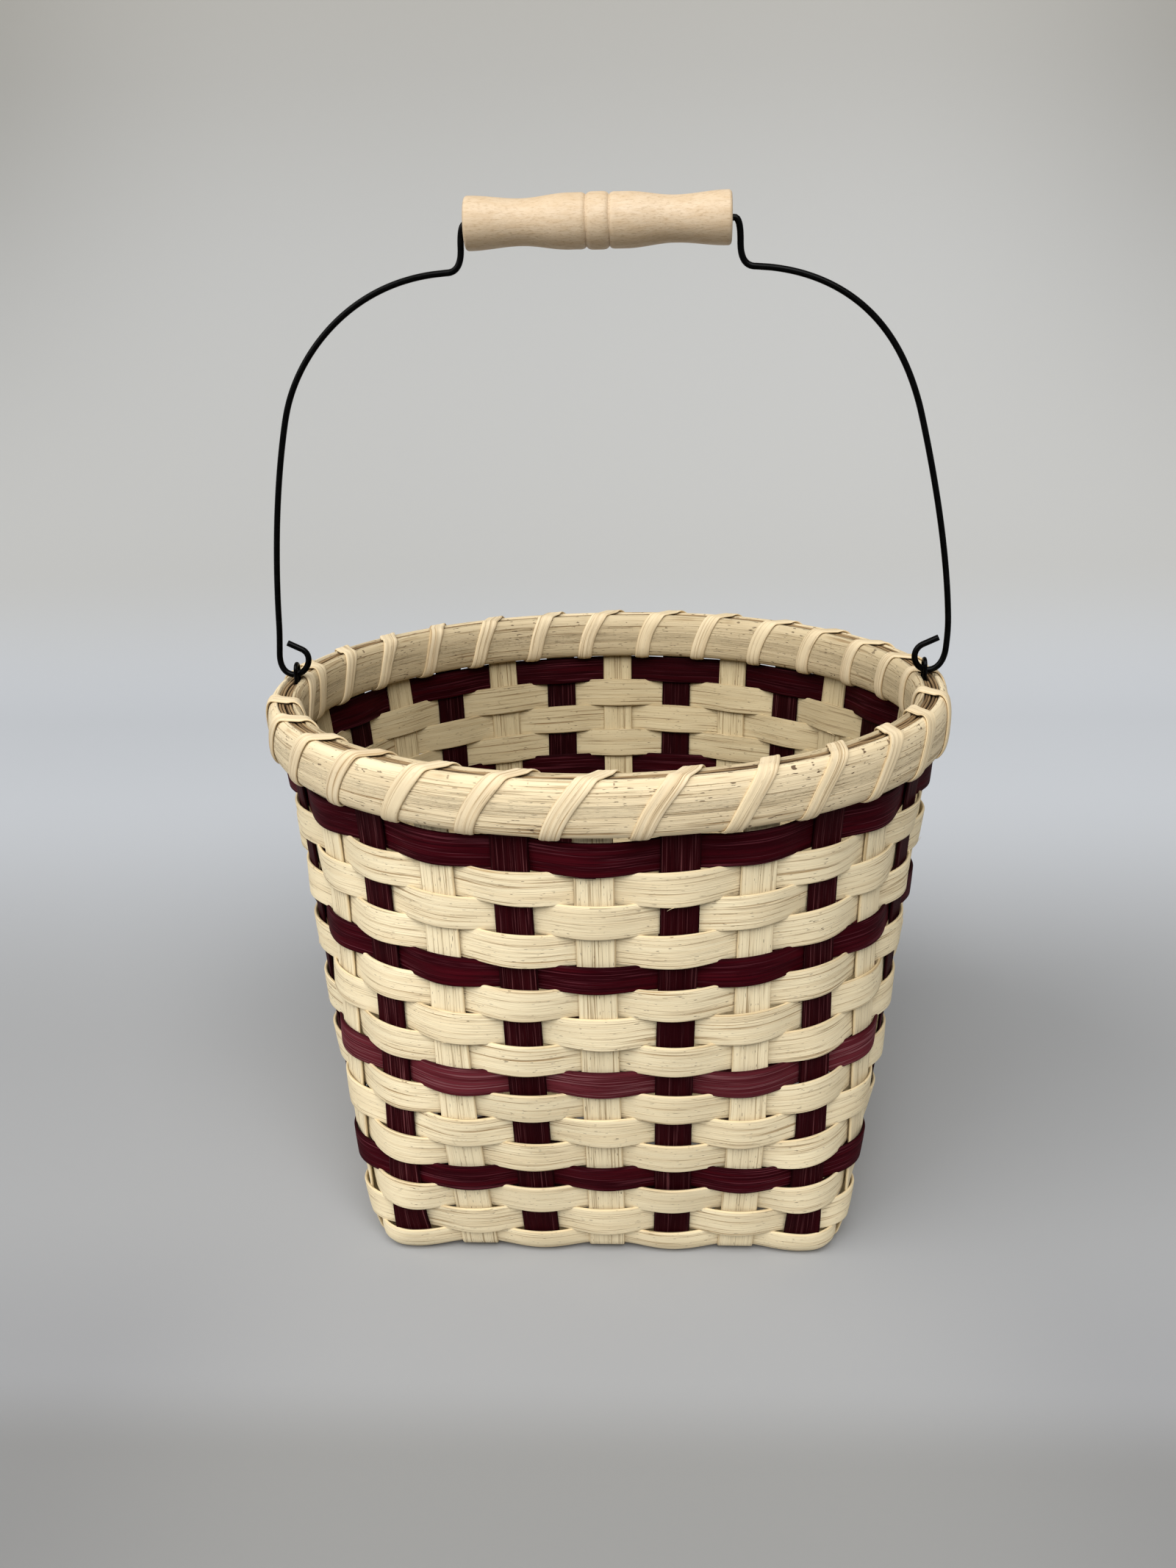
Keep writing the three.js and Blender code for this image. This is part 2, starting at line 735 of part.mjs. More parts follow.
// The grip is turned about its bore: a bead in the middle with a groove on each side, then a
// swell, a waist and a flared end. Between those, half a wave joins one radius to the next.
function woodenGrip() {
  const half = gripLength / 2;
  const bead = gripBeadWidth / 2;
  const outline = [
    new THREE.Vector2(gripBeadRadius, bead - gripBeadEase),
    new THREE.Vector2(gripGrooveRadius, bead),
    new THREE.Vector2(gripSwellRadius, bead + gripGrooveWidth),
    new THREE.Vector2(gripSwellRadius, gripSwellPlace),
  ];
  const waveTo = (radius, place) => {
    const steps = 3;
    const from = outline[outline.length - 1];
    for (let i = 1; i <= steps; i++) {
      const wave = (1 - Math.cos(Math.PI * i / steps)) / 2;
      outline.push(new THREE.Vector2(lerp(from.x, radius, wave), lerp(from.y, place, i / steps)));
    }
  };
  waveTo(gripWaistRadius, gripWaistPlace);
  waveTo(gripEndRadius, half - gripEdgeRadius);
  outline.push(new THREE.Vector2(gripEndRadius - gripEdgeRadius, half));
  outline.push(new THREE.Vector2(bailWireRadius + gripBoreClearance, half));
  const mirrored = outline.map(({ x, y }) => new THREE.Vector2(x, -y)).reverse();
  const turnedSides = 14;
  const geometry = new THREE.LatheGeometry([...mirrored, ...outline, mirrored[0]], turnedSides);
  geometry.rotateZ(-Math.PI / 2);
  return geometry;
}

function named(name, geometry, material) {
  const mesh = new THREE.Mesh(geometry, material);
  mesh.name = name;
  return mesh;
}

function numbered(value) {
  return String(value).padStart(2, '0');
}

function wovenBody() {
  const group = new THREE.Group();
  for (let i = 0; i < stripsPerSide; i++) {
    const place = i - halfCount;
    const frontReed = isDyedPlace(0, place) ? dyedReed : naturalReed;
    const sideReed = isDyedPlace(1, place) ? dyedReed : naturalReed;
    group.add(named(`stake_front_to_back_${i + 1}`, stakeStrip(true, place), frontReed));
    group.add(named(`stake_side_to_side_${i + 1}`, stakeStrip(false, place), sideReed));
  }
  for (let row = 1; row <= visibleRows + 1; row++) {
    const reed = row % dyedRowEvery === 0 ? dyedReed : naturalReed;
    group.add(named(`weaver_row_${numbered(row)}`, weaverHoop(row), reed));
  }
  return group;
}

function rim() {
  const group = new THREE.Group();
  group.add(named('rim_outer', rimHoop(1), rimReed));
  group.add(named('rim_inner', rimHoop(-1), rimReed));
  group.add(named('rim_filler_outer', outerFiller(), fillerReed));
  group.add(named('rim_filler_inner_back', innerFiller(0), fillerReed));
  group.add(named('rim_filler_inner_front', innerFiller(Math.PI), fillerReed));
  group.add(named('rim_lashing', rimLashing(), lashingReed));
  group.add(named('bail_ear_right', bailEar(1), blackWire));
  group.add(named('bail_ear_left', bailEar(-1), blackWire));
  return group;
}

function handle() {
  const group = new THREE.Group();
  group.add(named('bail_wire', bailWire(), blackWire));
  const grip = named('wooden_grip', woodenGrip(), gripWood);
  grip.position.set(0, 0, gripAxisHeight);
  group.add(grip);
  return group;
}

const basket = new THREE.Group();
basket.add(wovenBody(), rim(), handle());

export default basket;
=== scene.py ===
# A snack basket woven from flat reed, with a wire bail and a turned wooden grip, on a pale backdrop.
# Lengths are worked out in millimetres and become metres where a mesh is made.
import math

import bpy
import numpy as np
from mathutils import Matrix


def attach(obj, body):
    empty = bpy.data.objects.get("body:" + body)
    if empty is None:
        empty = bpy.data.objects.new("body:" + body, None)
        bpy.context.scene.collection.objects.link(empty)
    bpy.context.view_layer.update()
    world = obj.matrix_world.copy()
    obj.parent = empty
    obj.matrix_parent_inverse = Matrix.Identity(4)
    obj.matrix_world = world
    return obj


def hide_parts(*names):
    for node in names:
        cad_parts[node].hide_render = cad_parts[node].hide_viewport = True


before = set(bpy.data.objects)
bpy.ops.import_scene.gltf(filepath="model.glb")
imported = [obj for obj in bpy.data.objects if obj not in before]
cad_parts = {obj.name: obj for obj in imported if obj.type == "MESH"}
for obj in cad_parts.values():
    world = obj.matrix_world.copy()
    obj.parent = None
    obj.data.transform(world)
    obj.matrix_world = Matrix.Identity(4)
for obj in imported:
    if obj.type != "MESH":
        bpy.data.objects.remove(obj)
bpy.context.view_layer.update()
scene = bpy.context.scene
metre = 0.001


view = {
    "place": (23.71, -550.16, 332.53),  # where the lens is
    "pitchDown": 0.318,  # radians below the horizon
    "yawRight": -0.0578, "roll": -0.0217,
    "focalPixels": 2053.82,  # on a frame of 1600 x 2134 pixels
    "frameHeight": 2134, "sensorWidth": 36.0,
    "nearest": 0.01,  # metres from the lens that it still shows
}


# The camera is turned by its yaw and pitch, and then rolled about the line it looks along.
def makeCamera():
    lens = bpy.data.cameras.new("camera")
    lens.sensor_fit = "AUTO"
    lens.sensor_width = view["sensorWidth"]
    lens.lens = view["focalPixels"] / view["frameHeight"] * view["sensorWidth"]
    lens.clip_start = view["nearest"]
    camera = bpy.data.objects.new("camera", lens)
    scene.collection.objects.link(camera)
    spot = Matrix.Translation([v * metre for v in view["place"]])
    turns = ((-view["yawRight"], "Z"), (math.pi / 2 - view["pitchDown"], "X"), (view["roll"], "Z"))
    for angle, axis in turns:
        spot = spot @ Matrix.Rotation(angle, 4, axis)
    camera.matrix_world = spot
    scene.camera = camera


makeCamera()
print("camera placed")


def unit(vectors):
    return vectors / np.linalg.norm(vectors, axis=-1, keepdims=True)


def mix(a, b, share):
    return a + (b - a) * share


# Several coordinates, stretched to one shape, as points.
def points(*coordinates):
    return np.stack(np.broadcast_arrays(*coordinates), -1)


# Length along a line from its first point to each of its points.
def lengthAlong(line):
    return np.concatenate([[0], np.cumsum(np.linalg.norm(np.diff(line, axis=0), axis=-1))])


# Points of a line at some lengths along it, from the length at each of its points.
def pointsAt(line, lengths, wanted):
    return points(*(np.interp(wanted, lengths, column) for column in line.T))


# From 0 to 1 between low and high, level at both ends: three squares less two cubes.
def smoothStep(x, low, high):
    t = np.clip((x - low) / (high - low), 0, 1)
    return t * t * (3 - 2 * t)


# A slow wave round a loop or along a strip: a few sines of growing count and falling height, each
# with its own phase; turns runs from 0 to 1.
def wobble(rng, turns, waves, height=1.0):
    counts = np.arange(1, waves + 1)
    phases = rng.uniform(0, 2 * np.pi, waves)
    heights = rng.normal(0, 1, waves) / counts ** 0.6
    heights *= height / np.sqrt((heights ** 2).sum() / 2)
    return (heights * np.sin(2 * np.pi * counts * turns[..., None] + phases)).sum(-1)


grainLength = 60.0  # millimetres along a strip that move its place in the grain on by one
grainThrough = 1.7  # what a millimetre through a strip counts for against one across it
grainSpan = 900  # each strip starts somewhere in this much of the grain


# What the materials read at each point of a skin: a place in the grain, whose last number is
# millimetres across the strip, how near the strip's edge the point is, and how much of the darker
# rough side it gets, both from 0 to 1. That darkening is partly the reed's duller rough side and
# partly painted shade inside the basket.
def grainOf(x, y, across, edge=0.0, rough=0.0):
    return points(x, y, across, edge, rough)


# The same on a strip that closes round the basket: the place in the grain goes round a circle.
def loopGrain(angle, across, edge=0.0, rough=0.0):
    return grainOf(2 * np.cos(angle), 2 * np.sin(angle), across, edge, rough)


# Sets one property of every vertex, corner or face.
def fill(items, label, values, kind=np.float32):
    items.foreach_set(label, np.ascontiguousarray(values, kind).reshape(-1))


# Makes one mesh of several skins. Each skin is a grid of points, rows along the piece and columns
# round its section, which always closes; its rows close too where it is a loop, and otherwise each
# end gets a flat face. Faces turn the way that makes the volume inside positive.
def skinMesh(name, skins, capMaterial):
    places, grains, corners, sizes, isCap = [], [], [], [], []
    first = 0
    for grid, grain, isLoop in skins:
        index = np.arange(grid[..., 0].size).reshape(grid.shape[:2])
        here = index if isLoop else index[:-1]
        there = np.roll(index, -1, 0) if isLoop else index[1:]
        quads = np.stack([here, np.roll(here, -1, 1), np.roll(there, -1, 1), there], -1).reshape(-1, 4)
        rings = [] if isLoop else [index[0, ::-1], index[-1]]
        flat = grid.reshape(-1, 3)
        a, b, c, d = flat[quads.T]
        volume = ((np.cross(b - a, c - a) + np.cross(c - a, d - a)) * (a - flat.mean(0))).sum()
        way = -1 if volume < 0 else 1
        corners += [first + faces[..., ::way].reshape(-1) for faces in [quads] + rings]
        sizes += [4] * len(quads) + [len(ring) for ring in rings]
        isCap += [False] * len(quads) + [True] * len(rings)
        places.append(flat)
        grains.append(grain.reshape(-1, 5))
        first += len(flat)
    places, grains, corners = map(np.concatenate, (places, grains, corners))
    mesh = bpy.data.meshes.new(name)
    mesh.vertices.add(len(places))
    fill(mesh.vertices, "co", places * metre)
    mesh.loops.add(len(corners))
    fill(mesh.loops, "vertex_index", corners, np.int32)
    mesh.polygons.add(len(sizes))
    fill(mesh.polygons, "loop_start", np.cumsum(sizes) - sizes, np.int32)
    fill(mesh.polygons, "use_smooth", np.logical_not(isCap), bool)
    fill(mesh.polygons, "material_index", np.array(isCap) * capMaterial, np.int32)
    mesh.update(calc_edges=True)
    fill(mesh.attributes.new("grain", "FLOAT_VECTOR", "POINT").data, "vector", grains[:, :3])
    for column, label in ((3, "edge"), (4, "rough")):
        fill(mesh.attributes.new(label, "FLOAT", "POINT").data, "value", grains[:, column])
    return mesh


# A piece in place of nodes of the frame; the last of its materials covers its flat ends.
def place(name, skins, body, nodes, materials, slot):
    mesh = skinMesh(name, skins, capMaterial=len(materials) - 1)
    for material in materials:
        mesh.materials.append(material)
    piece = bpy.data.objects.new(name, mesh)
    scene.collection.objects.link(piece)
    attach(piece, body)
    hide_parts(*nodes)


# Outline of a flat reed's section, as distances across it and out of it: straight faces, a slight
# crown on the outer one, and edges rounded by a quarter of an ellipse.
def reedOutline(width, thickness, edge, crown=0.0, faceSteps=6, edgeSteps=4):
    half = width / 2
    quarter = np.linspace(0, np.pi / 2, edgeSteps + 1)
    face = np.linspace(-1, 1, faceSteps + 1)[1:-1] * (half - edge)
    right, rise = half - edge + edge * np.cos(quarter), thickness / 2 * np.sin(quarter)
    across = np.concatenate([right, -face, -right[::-1]])
    out = np.concatenate([rise, np.full(face.size, thickness / 2), rise[::-1]])
    across, out = (np.concatenate([upper, -upper[1:-1]]) for upper in (across, out))
    return across, out + np.where(out > 0, crown * (1 - (across / half) ** 2), 0)


# How near a strip's edge a distance across it is: 0 over the middle part, 1 at the edge itself.
def edgeShare(across, width, start=0.8):
    return np.clip((np.abs(across) / (width / 2) - start) / (1 - start), 0, 1)


# An outline carried along a path: u goes across it and v out of it, for every section alike or
# each on a row of its own.
def sweep(centre, across, outward, u, v):
    return centre[:, None] + across[:, None] * u[..., None] + outward[:, None] * v[..., None]


# Cosine and sine, each raised to a power with its sign kept: a round that bulges towards its square.
def superellipse(angle, roundness):
    power = 2 / roundness
    return [np.sign(wave) * np.abs(wave) ** power for wave in (np.cos(angle), np.sin(angle))]


wall = {
    "stripPitch": 23.0,  # between the strips of the base
    "stripsPerSide": 7,
    "footReach": 13.2,  # from the outermost strip's middle to the wall's foot
    "footCornerRadius": 6.4, "footBendRadius": 5.9, "topRadius": 119.2,
    "height": 174.2,  # up to the rim
    "bow": 0.34, "cornerEasing": 1.8, "stakeThickness": 1.15, "clearance": 0.33,
    "rimHeight": 18.6,
}
stakeCount = 4 * wall["stripsPerSide"]
outermost = wall["stripsPerSide"] // 2  # the last strip of a side, counted from the middle one
footHalfWidth = outermost * wall["stripPitch"] + wall["footReach"]
topPitch = math.pi / 2 * wall["topRadius"] / wall["stripsPerSide"]
rimBottom = wall["height"]
rimTop = rimBottom + wall["rimHeight"]
baseMiddle = wall["stakeThickness"] + wall["clearance"] / 2


# Half-width of the wall: a straight lean with a little outward bow.
def wallHalfWidth(z):
    t = np.minimum(z / wall["height"], 1)
    bowed = t * (1 - wall["bow"]) + wall["bow"] * (1 - (1 - t) ** 2)
    return mix(footHalfWidth, wall["topRadius"], bowed)


# Side view of the wall: an arc out of the base, then the lean; lengths are measured along it.
def makeProfile(step=0.5):
    radius = wall["footBendRadius"]
    slope = (wall["topRadius"] - footHalfWidth) * (1 + wall["bow"]) / wall["height"]
    turn = math.pi / 2 - math.atan(slope)
    bendEnd = baseMiddle + radius * (1 - math.cos(turn))
    bendCentre = wallHalfWidth(bendEnd) - radius * math.sin(turn)
    angle = np.linspace(0, turn, 25)
    heights = np.arange(bendEnd + step, rimTop + 2 * step, step)
    w = np.concatenate([bendCentre + radius * np.sin(angle), wallHalfWidth(heights)])
    z = np.concatenate([baseMiddle + radius * (1 - np.cos(angle)), heights])
    return lengthAlong(points(w, z)), w, z


profileLength, profileWidth, profileHeight = makeProfile()
baseReach = profileWidth[0]


def lengthAtHeight(z):
    return np.interp(z, profileHeight, profileLength)


# A point of the wall at a number round the basket and a length up it. The number grows by one from
# stake to stake: stakes stand at its halves, corners at multiples of the strips per side. A side is
# a straight stretch, then an arc, whose radius grows with the height until the section is a circle.
def roundWall(t, s):
    count = wall["stripsPerSide"]
    side = np.floor(t / count)
    fromMiddle = t - side * count - count / 2
    w = np.interp(s, profileLength, profileWidth)
    z = np.interp(s, profileLength, profileHeight)
    climb = np.clip(z / wall["height"], 0, 1)
    r = mix(wall["footCornerRadius"], w, 1 - (1 - climb) ** wall["cornerEasing"])
    straight = w - r
    pitch = mix(wall["stripPitch"], topPitch, climb)
    away = np.abs(fromMiddle)
    pastLast = mix(outermost * pitch, straight + r * np.pi / 4, (away - outermost) * 2)
    lateral = np.where(away <= outermost, away * pitch, pastLast)
    angle = np.maximum(lateral - straight, 0) / r
    across = np.sign(fromMiddle) * (np.minimum(lateral, straight) + r * np.sin(angle))
    out = straight + r * np.cos(angle)
    cosine, sine = np.cos(side * np.pi / 2), np.sin(side * np.pi / 2)
    return points(across * cosine + out * sine, across * sine - out * cosine, z)


# Centre, direction round the basket and outward direction of the wall, from small differences.
def wallFrame(t, s, aside=0.02, above=0.2):
    around = roundWall(t + aside, s) - roundWall(t - aside, s)
    climb = roundWall(t, s + above) - roundWall(t, s - above)
    outward = unit(np.cross(around, climb))
    return roundWall(t, s), unit(np.cross(climb, outward)), outward


# A colour of the screen, 0 to 255, as the amounts of light that a shader takes.
def linear(screenColour):
    shades = np.array(screenColour) / 255
    low = shades / 12.92
    high = ((shades + 0.055) / 1.055) ** 2.4
    return tuple(float(v) for v in np.where(shades <= 0.04045, low, high)) + (1.0,)


# A number that a node gives, so that sums on it are written as plain sums.
class Value:
    def __init__(self, finish, socket):
        self.finish, self.socket = finish, socket

    def __add__(self, other):
        return self.finish.sum("ADD", self, other)

    __radd__ = __add__

    def __sub__(self, other):
        return self.finish.sum("SUBTRACT", self, other)

    def __rsub__(self, other):
        return self.finish.sum("SUBTRACT", other, self)

    def __mul__(self, other):
        return self.finish.sum("MULTIPLY", self, other)

    __rmul__ = __mul__


# A material and its nodes, all made by one method.
class Finish:
    def __init__(self, name, roughness, **uniform):
        self.material = bpy.data.materials.new(name)
        self.material.use_nodes = True
        self.tree = self.material.node_tree
        self.shader = self.tree.nodes["Principled BSDF"]
        for socket, value in dict(uniform, Roughness=roughness).items():
            self.shader.inputs[socket.replace("_", " ")].default_value = value

    def node(self, kind, settings, inputs):
        made = self.tree.nodes.new("ShaderNode" + kind)
        for key, value in settings.items():
            setattr(made, key, value)
        for key, value in inputs.items():
            if isinstance(value, Value):
                self.tree.links.new(value.socket, made.inputs[key])
            else:
                made.inputs[key].default_value = value
        return made

    # The same, for one of the node's outputs.
    def value(self, kind, settings, inputs, output=0):
        return Value(self, self.node(kind, settings, inputs).outputs[output])

    def sum(self, operation, a, b):
        return self.value("Math", {"operation": operation}, {0: a, 1: b})

    def attribute(self, label, output="Fac"):
        return self.value("Attribute", {"attribute_name": label}, {}, output)

    def objectPlace(self):
        return self.value("TexCoord", {}, {}, "Object")

    def along(self, vector, axis):
        return self.value("VectorMath", {"operation": "DOT_PRODUCT"}, {0: vector, 1: axis}, "Value")

    def noise(self, vector, x, y, z, detail=2.0, roughness=0.5):
        stretched = self.value("VectorMath", {"operation": "MULTIPLY"}, {0: vector, 1: (x, y, z)})
        inputs = {"Vector": stretched, "Scale": 1.0, "Detail": detail, "Roughness": roughness}
        return self.value("TexNoise", {}, inputs, "Fac")

    def ramp(self, value, low, high, bottom=0.0, top=1.0):
        inputs = {"Value": value, "From Min": low, "From Max": high, "To Min": bottom, "To Max": top}
        return self.value("MapRange", {"interpolation_type": "SMOOTHSTEP"}, inputs, "Result")

    def blend(self, factor, first, second, kind="MIX"):
        first, second = (c if isinstance(c, Value) else linear(c) for c in (first, second))
        settings = {"data_type": "RGBA", "blend_type": kind}
        return self.value("Mix", settings, {0: factor, 6: first, 7: second}, 2)

    def bump(self, height, strength, distance):
        inputs = {"Height": height, "Strength": strength, "Distance": distance * metre}
        return self.value("Bump", {}, inputs, "Normal")

    def connect(self, **links):
        for socket, value in links.items():
            self.tree.links.new(value.socket, self.shader.inputs[socket.replace("_", " ")])
        return self.material


# Split reed: soft bands and fine fibre lines that run along the strip, short dark pores, a broad
# change of tone along it, darker edges, and a darker rough side, which a weaver turns inwards:
# partly the reed's duller underside and partly painted shade inside the basket.
def reedFinish(name, tones):
    finish = Finish(name, tones["roughness"], IOR=1.45, Specular_IOR_Level=tones["shine"])
    grain = finish.attribute("grain", "Vector")
    bands = finish.noise(grain, 1.0, 1.0, 0.55)
    lines = finish.noise(grain, 1.4, 1.4, tones["linesPerMm"], detail=3.0, roughness=0.6)
    fibres = finish.noise(grain, 3.0, 3.0, tones["linesPerMm"] * 2.6)
    pores = finish.noise(grain, 22.0, 22.0, 3.1, detail=1.0)
    broad = finish.noise(grain, 0.9, 0.9, 0.05, detail=1.0)
    streaks = finish.ramp(bands + lines * 0.9, tones["streakStart"], tones["streakStart"] + 0.38)
    # Fine lines along the grain: dark on natural reed; on dyed reed lighter, partly paler fibres and partly a
    # painted sheen.
    lineMarks = finish.ramp(lines, tones["lineStart"], tones["lineStart"] + 0.13)
    lineMarks = lineMarks * finish.ramp(bands, 0.3, 0.52)
    poreMarks = finish.ramp(pores, tones["poreStart"], tones["poreStart"] + 0.06)
    # Darker near a strip's edges; on the filler strands this is painted shade in their crevices.
    edgeDarkening = finish.ramp(finish.attribute("edge") + fibres * 0.5, 0.7, 1.15)
    layers = (
        (streaks, "streakShare", "streak"),
        (lineMarks, "lineShare", "line"),
        (finish.ramp(fibres, 0.5, 0.85), "fibreShare", "line"),
        (poreMarks, "poreShare", "pore"),
        (finish.ramp(broad, 0.35, 0.75), "broadShare", "broad"),
        (edgeDarkening, "edgeShare", "edge"),
    )
    colour = tones["light"]
    for marks, share, tone in layers:
        colour = finish.blend(marks * tones[share], colour, tones[tone])
    # The rough side, turned into the basket, is darkened: partly the reed's duller underside, partly painted
    # shade inside the basket.
    colour = finish.blend(finish.attribute("rough"), colour, tones["shadedRoughSide"], "MULTIPLY")
    height = lines * 0.7 + fibres * 0.5 - lineMarks * 0.7 - poreMarks * 0.5
    rough = finish.ramp(lines, 0.3, 0.7, tones["roughness"] - 0.08, tones["roughness"] + 0.1)
    return finish.connect(Base_Color=colour, Roughness=rough, Normal=finish.bump(height, 0.7, tones["depth"]))


# Colours of the screen. A share says how strong a mark is, a start at what noise it sets in.
naturalTones = {
    "light": (252, 236, 198), "streak": (235, 213, 172), "line": (170, 138, 95), "pore": (80, 54, 34),
    "broad": (234, 215, 176), "edge": (208, 184, 141), "shadedRoughSide": (201, 197, 188),
    "roughness": 0.66, "shine": 0.25, "depth": 0.36, "linesPerMm": 1.9,
    "lineStart": 0.55, "lineShare": 0.95, "streakStart": 0.78, "streakShare": 0.65,
    "poreStart": 0.7, "poreShare": 0.9, "fibreShare": 0.6, "broadShare": 0.5, "edgeShare": 0.55,
}
stakeTones = dict(
    naturalTones, line=(158, 128, 86), lineStart=0.53, lineShare=0.9, streakShare=0.4,
    broadShare=0.3, depth=0.26,
)
# The dyed tones' light line colour is partly paler fibres and partly a painted sheen, as dyed reed is given
# little gloss.
dyedTones = {
    "light": (70, 9, 19), "streak": (40, 2, 8), "line": (122, 58, 68), "pore": (18, 1, 3),
    "broad": (38, 2, 7), "edge": (18, 1, 3), "shadedRoughSide": (190, 180, 180),
    "roughness": 0.62, "shine": 0.03, "depth": 0.16, "linesPerMm": 1.8,
    "lineStart": 0.53, "lineShare": 0.6, "streakStart": 0.68, "streakShare": 0.9,
    "poreStart": 0.71, "poreShare": 0.5, "fibreShare": 0.15, "broadShare": 0.5, "edgeShare": 0.6,
}
dyedStakeTones = dict(
    dyedTones, light=(50, 8, 13), streak=(34, 2, 6), line=(126, 71, 74), broad=(29, 2, 6),
    linesPerMm=1.9, lineStart=0.54, lineShare=0.7, depth=0.2,
)
paleDyedTones = dict(
    dyedTones, light=(110, 44, 52), streak=(78, 22, 29), line=(152, 98, 102), broad=(72, 20, 27),
    lineStart=0.5, lineShare=0.8,
)
rimTones = dict(
    naturalTones, light=(235, 216, 179), streak=(214, 192, 152), line=(154, 122, 81), linesPerMm=2.1,
    lineStart=0.545, streakShare=0.55, fibreShare=0.65, broadShare=0.35, poreStart=0.66, edgeShare=0.0,
    depth=0.46,
)
lashingTones = dict(
    naturalTones, light=(231, 212, 177), streak=(214, 189, 149), line=(166, 136, 96), lineStart=0.53,
    lineShare=0.85, fibreShare=0.4, poreShare=0.25, depth=0.16,
)
# The filler's dark edge tone is painted shade in the crevices between the strands and the hoops.
fillerTones = dict(
    naturalTones, light=(164, 137, 99), streak=(130, 103, 69), line=(64, 45, 27), broad=(138, 110, 75),
    edge=(70, 50, 30), linesPerMm=1.6, lineStart=0.5, lineShare=1.0, edgeShare=0.9, depth=0.4,
)
wood = {
    "pale": (210, 188, 158), "mottle": (202, 177, 144), "fleck": (158, 129, 93), "cloud": (195, 170, 135),
    "fleckShare": 0.5, "cloudShare": 0.4, "smoothest": 0.5, "roughest": 0.62, "depth": 0.2,
}
coating = {
    "black": (1, 1, 1), "paler": (5, 5, 5), "shine": 0.06, "smoothest": 0.18, "roughest": 0.3, "depth": 0.05,
}
steel = {"bright": (205, 200, 192), "dull": (150, 146, 140), "roughness": 0.35, "depth": 0.03}


# Turned wood: pale, with short soft flecks along the grip and a fuzzy mottle.
def woodFinish():
    finish = Finish("turnedWood", wood["smoothest"], IOR=1.45)
    spot = finish.objectPlace()
    mottle = finish.noise(spot, 160.0, 520.0, 520.0, detail=3.0, roughness=0.6)
    flecks = finish.noise(spot, 560.0, 2100.0, 2100.0, detail=3.0, roughness=0.6)
    clouds = finish.noise(spot, 18.0, 60.0, 60.0, detail=1.0)
    colour = finish.blend(finish.ramp(mottle, 0.35, 0.7), wood["pale"], wood["mottle"])
    colour = finish.blend(finish.ramp(flecks, 0.48, 0.72) * wood["fleckShare"], colour, wood["fleck"])
    colour = finish.blend(finish.ramp(clouds, 0.4, 0.7) * wood["cloudShare"], colour, wood["cloud"])
    height = flecks * 0.6 + mottle * 0.4
    rough = finish.ramp(mottle, 0.3, 0.7, wood["smoothest"], wood["roughest"])
    return finish.connect(Base_Color=colour, Roughness=rough, Normal=finish.bump(height, 0.6, wood["depth"]))


# Black coated wire: a gloss that is a little uneven.
def wireFinish():
    finish = Finish("blackWire", coating["roughest"], IOR=1.5, Specular_IOR_Level=coating["shine"])
    uneven = finish.noise(finish.objectPlace(), 400.0, 400.0, 400.0, detail=3.0)
    colour = finish.blend(finish.ramp(uneven, 0.4, 0.8), coating["black"], coating["paler"])
    rough = finish.ramp(uneven, 0.3, 0.7, coating["smoothest"], coating["roughest"])
    relief = finish.bump(uneven, 0.15, coating["depth"])
    return finish.connect(Base_Color=colour, Roughness=rough, Normal=relief)


# The wire's cut ends are bare steel with fine shear marks.
def cutFinish():
    finish = Finish("cutSteel", steel["roughness"], Metallic=1.0)
    marks = finish.noise(finish.objectPlace(), 300.0, 300.0, 6000.0)
    colour = finish.blend(finish.ramp(marks, 0.3, 0.7), steel["bright"], steel["dull"])
    return finish.connect(Base_Color=colour, Normal=finish.bump(marks, 0.3, steel["depth"]))


naturalReed, dyedReed = reedFinish("naturalReed", naturalTones), reedFinish("dyedReed", dyedTones)
naturalStake, dyedStake = reedFinish("naturalStake", stakeTones), reedFinish("dyedStake", dyedStakeTones)
paleDyedReed, rimReed = reedFinish("paleDyedReed", paleDyedTones), reedFinish("rimReed", rimTones)
lashingReed, fillerReed = reedFinish("lashingReed", lashingTones), reedFinish("fillerReed", fillerTones)
turnedWood, blackWire, cutSteel = woodFinish(), wireFinish(), cutFinish()
print("materials made")


stakes = {
    "width": 12.7, "thickness": 1.15,
    "edge": 0.55,  # how far in the rounding of an edge reaches
    "topBelowRim": 3.0,
    "step": 1.2,  # between sections
    "baseSpread": 1.0012,  # times the pitch, to meet the wall's foot
    "lift": 0.74,  # over or under the middle of the base at a crossing
    "flatReach": 6.75,  # of that, to each side of a crossing
    "wander": (6, 0.22),  # along the wall: number of waves, height
    "wanderStart": 30.0,  # length up the wall over which it sets in
    "uneven": (5, 0.006),  # share of the width
    "seed": 11,
}


# Every second strip, so that the middle one of the front is natural and that of a side is dyed.
def isDyedStrip(toBack, fromMiddle):
    return (fromMiddle % 2 != 0) == toBack


# Height over the middle of the base along a strip: level over each crossing and half a cosine
# between two, fading out where the strip bends up.
def baseWave(a, signAtMiddle):
    pitch = wall["stripPitch"]
    crossing = np.clip(np.round(a / pitch), -outermost, outermost)
    away = np.abs(a - crossing * pitch) - stakes["flatReach"]
    share = np.clip(away / (pitch / 2 - stakes["flatReach"]), 0, 1)
    sign = signAtMiddle * np.where(crossing % 2 == 0, 1, -1)
    return stakes["lift"] * sign * np.cos(np.pi / 2 * share)


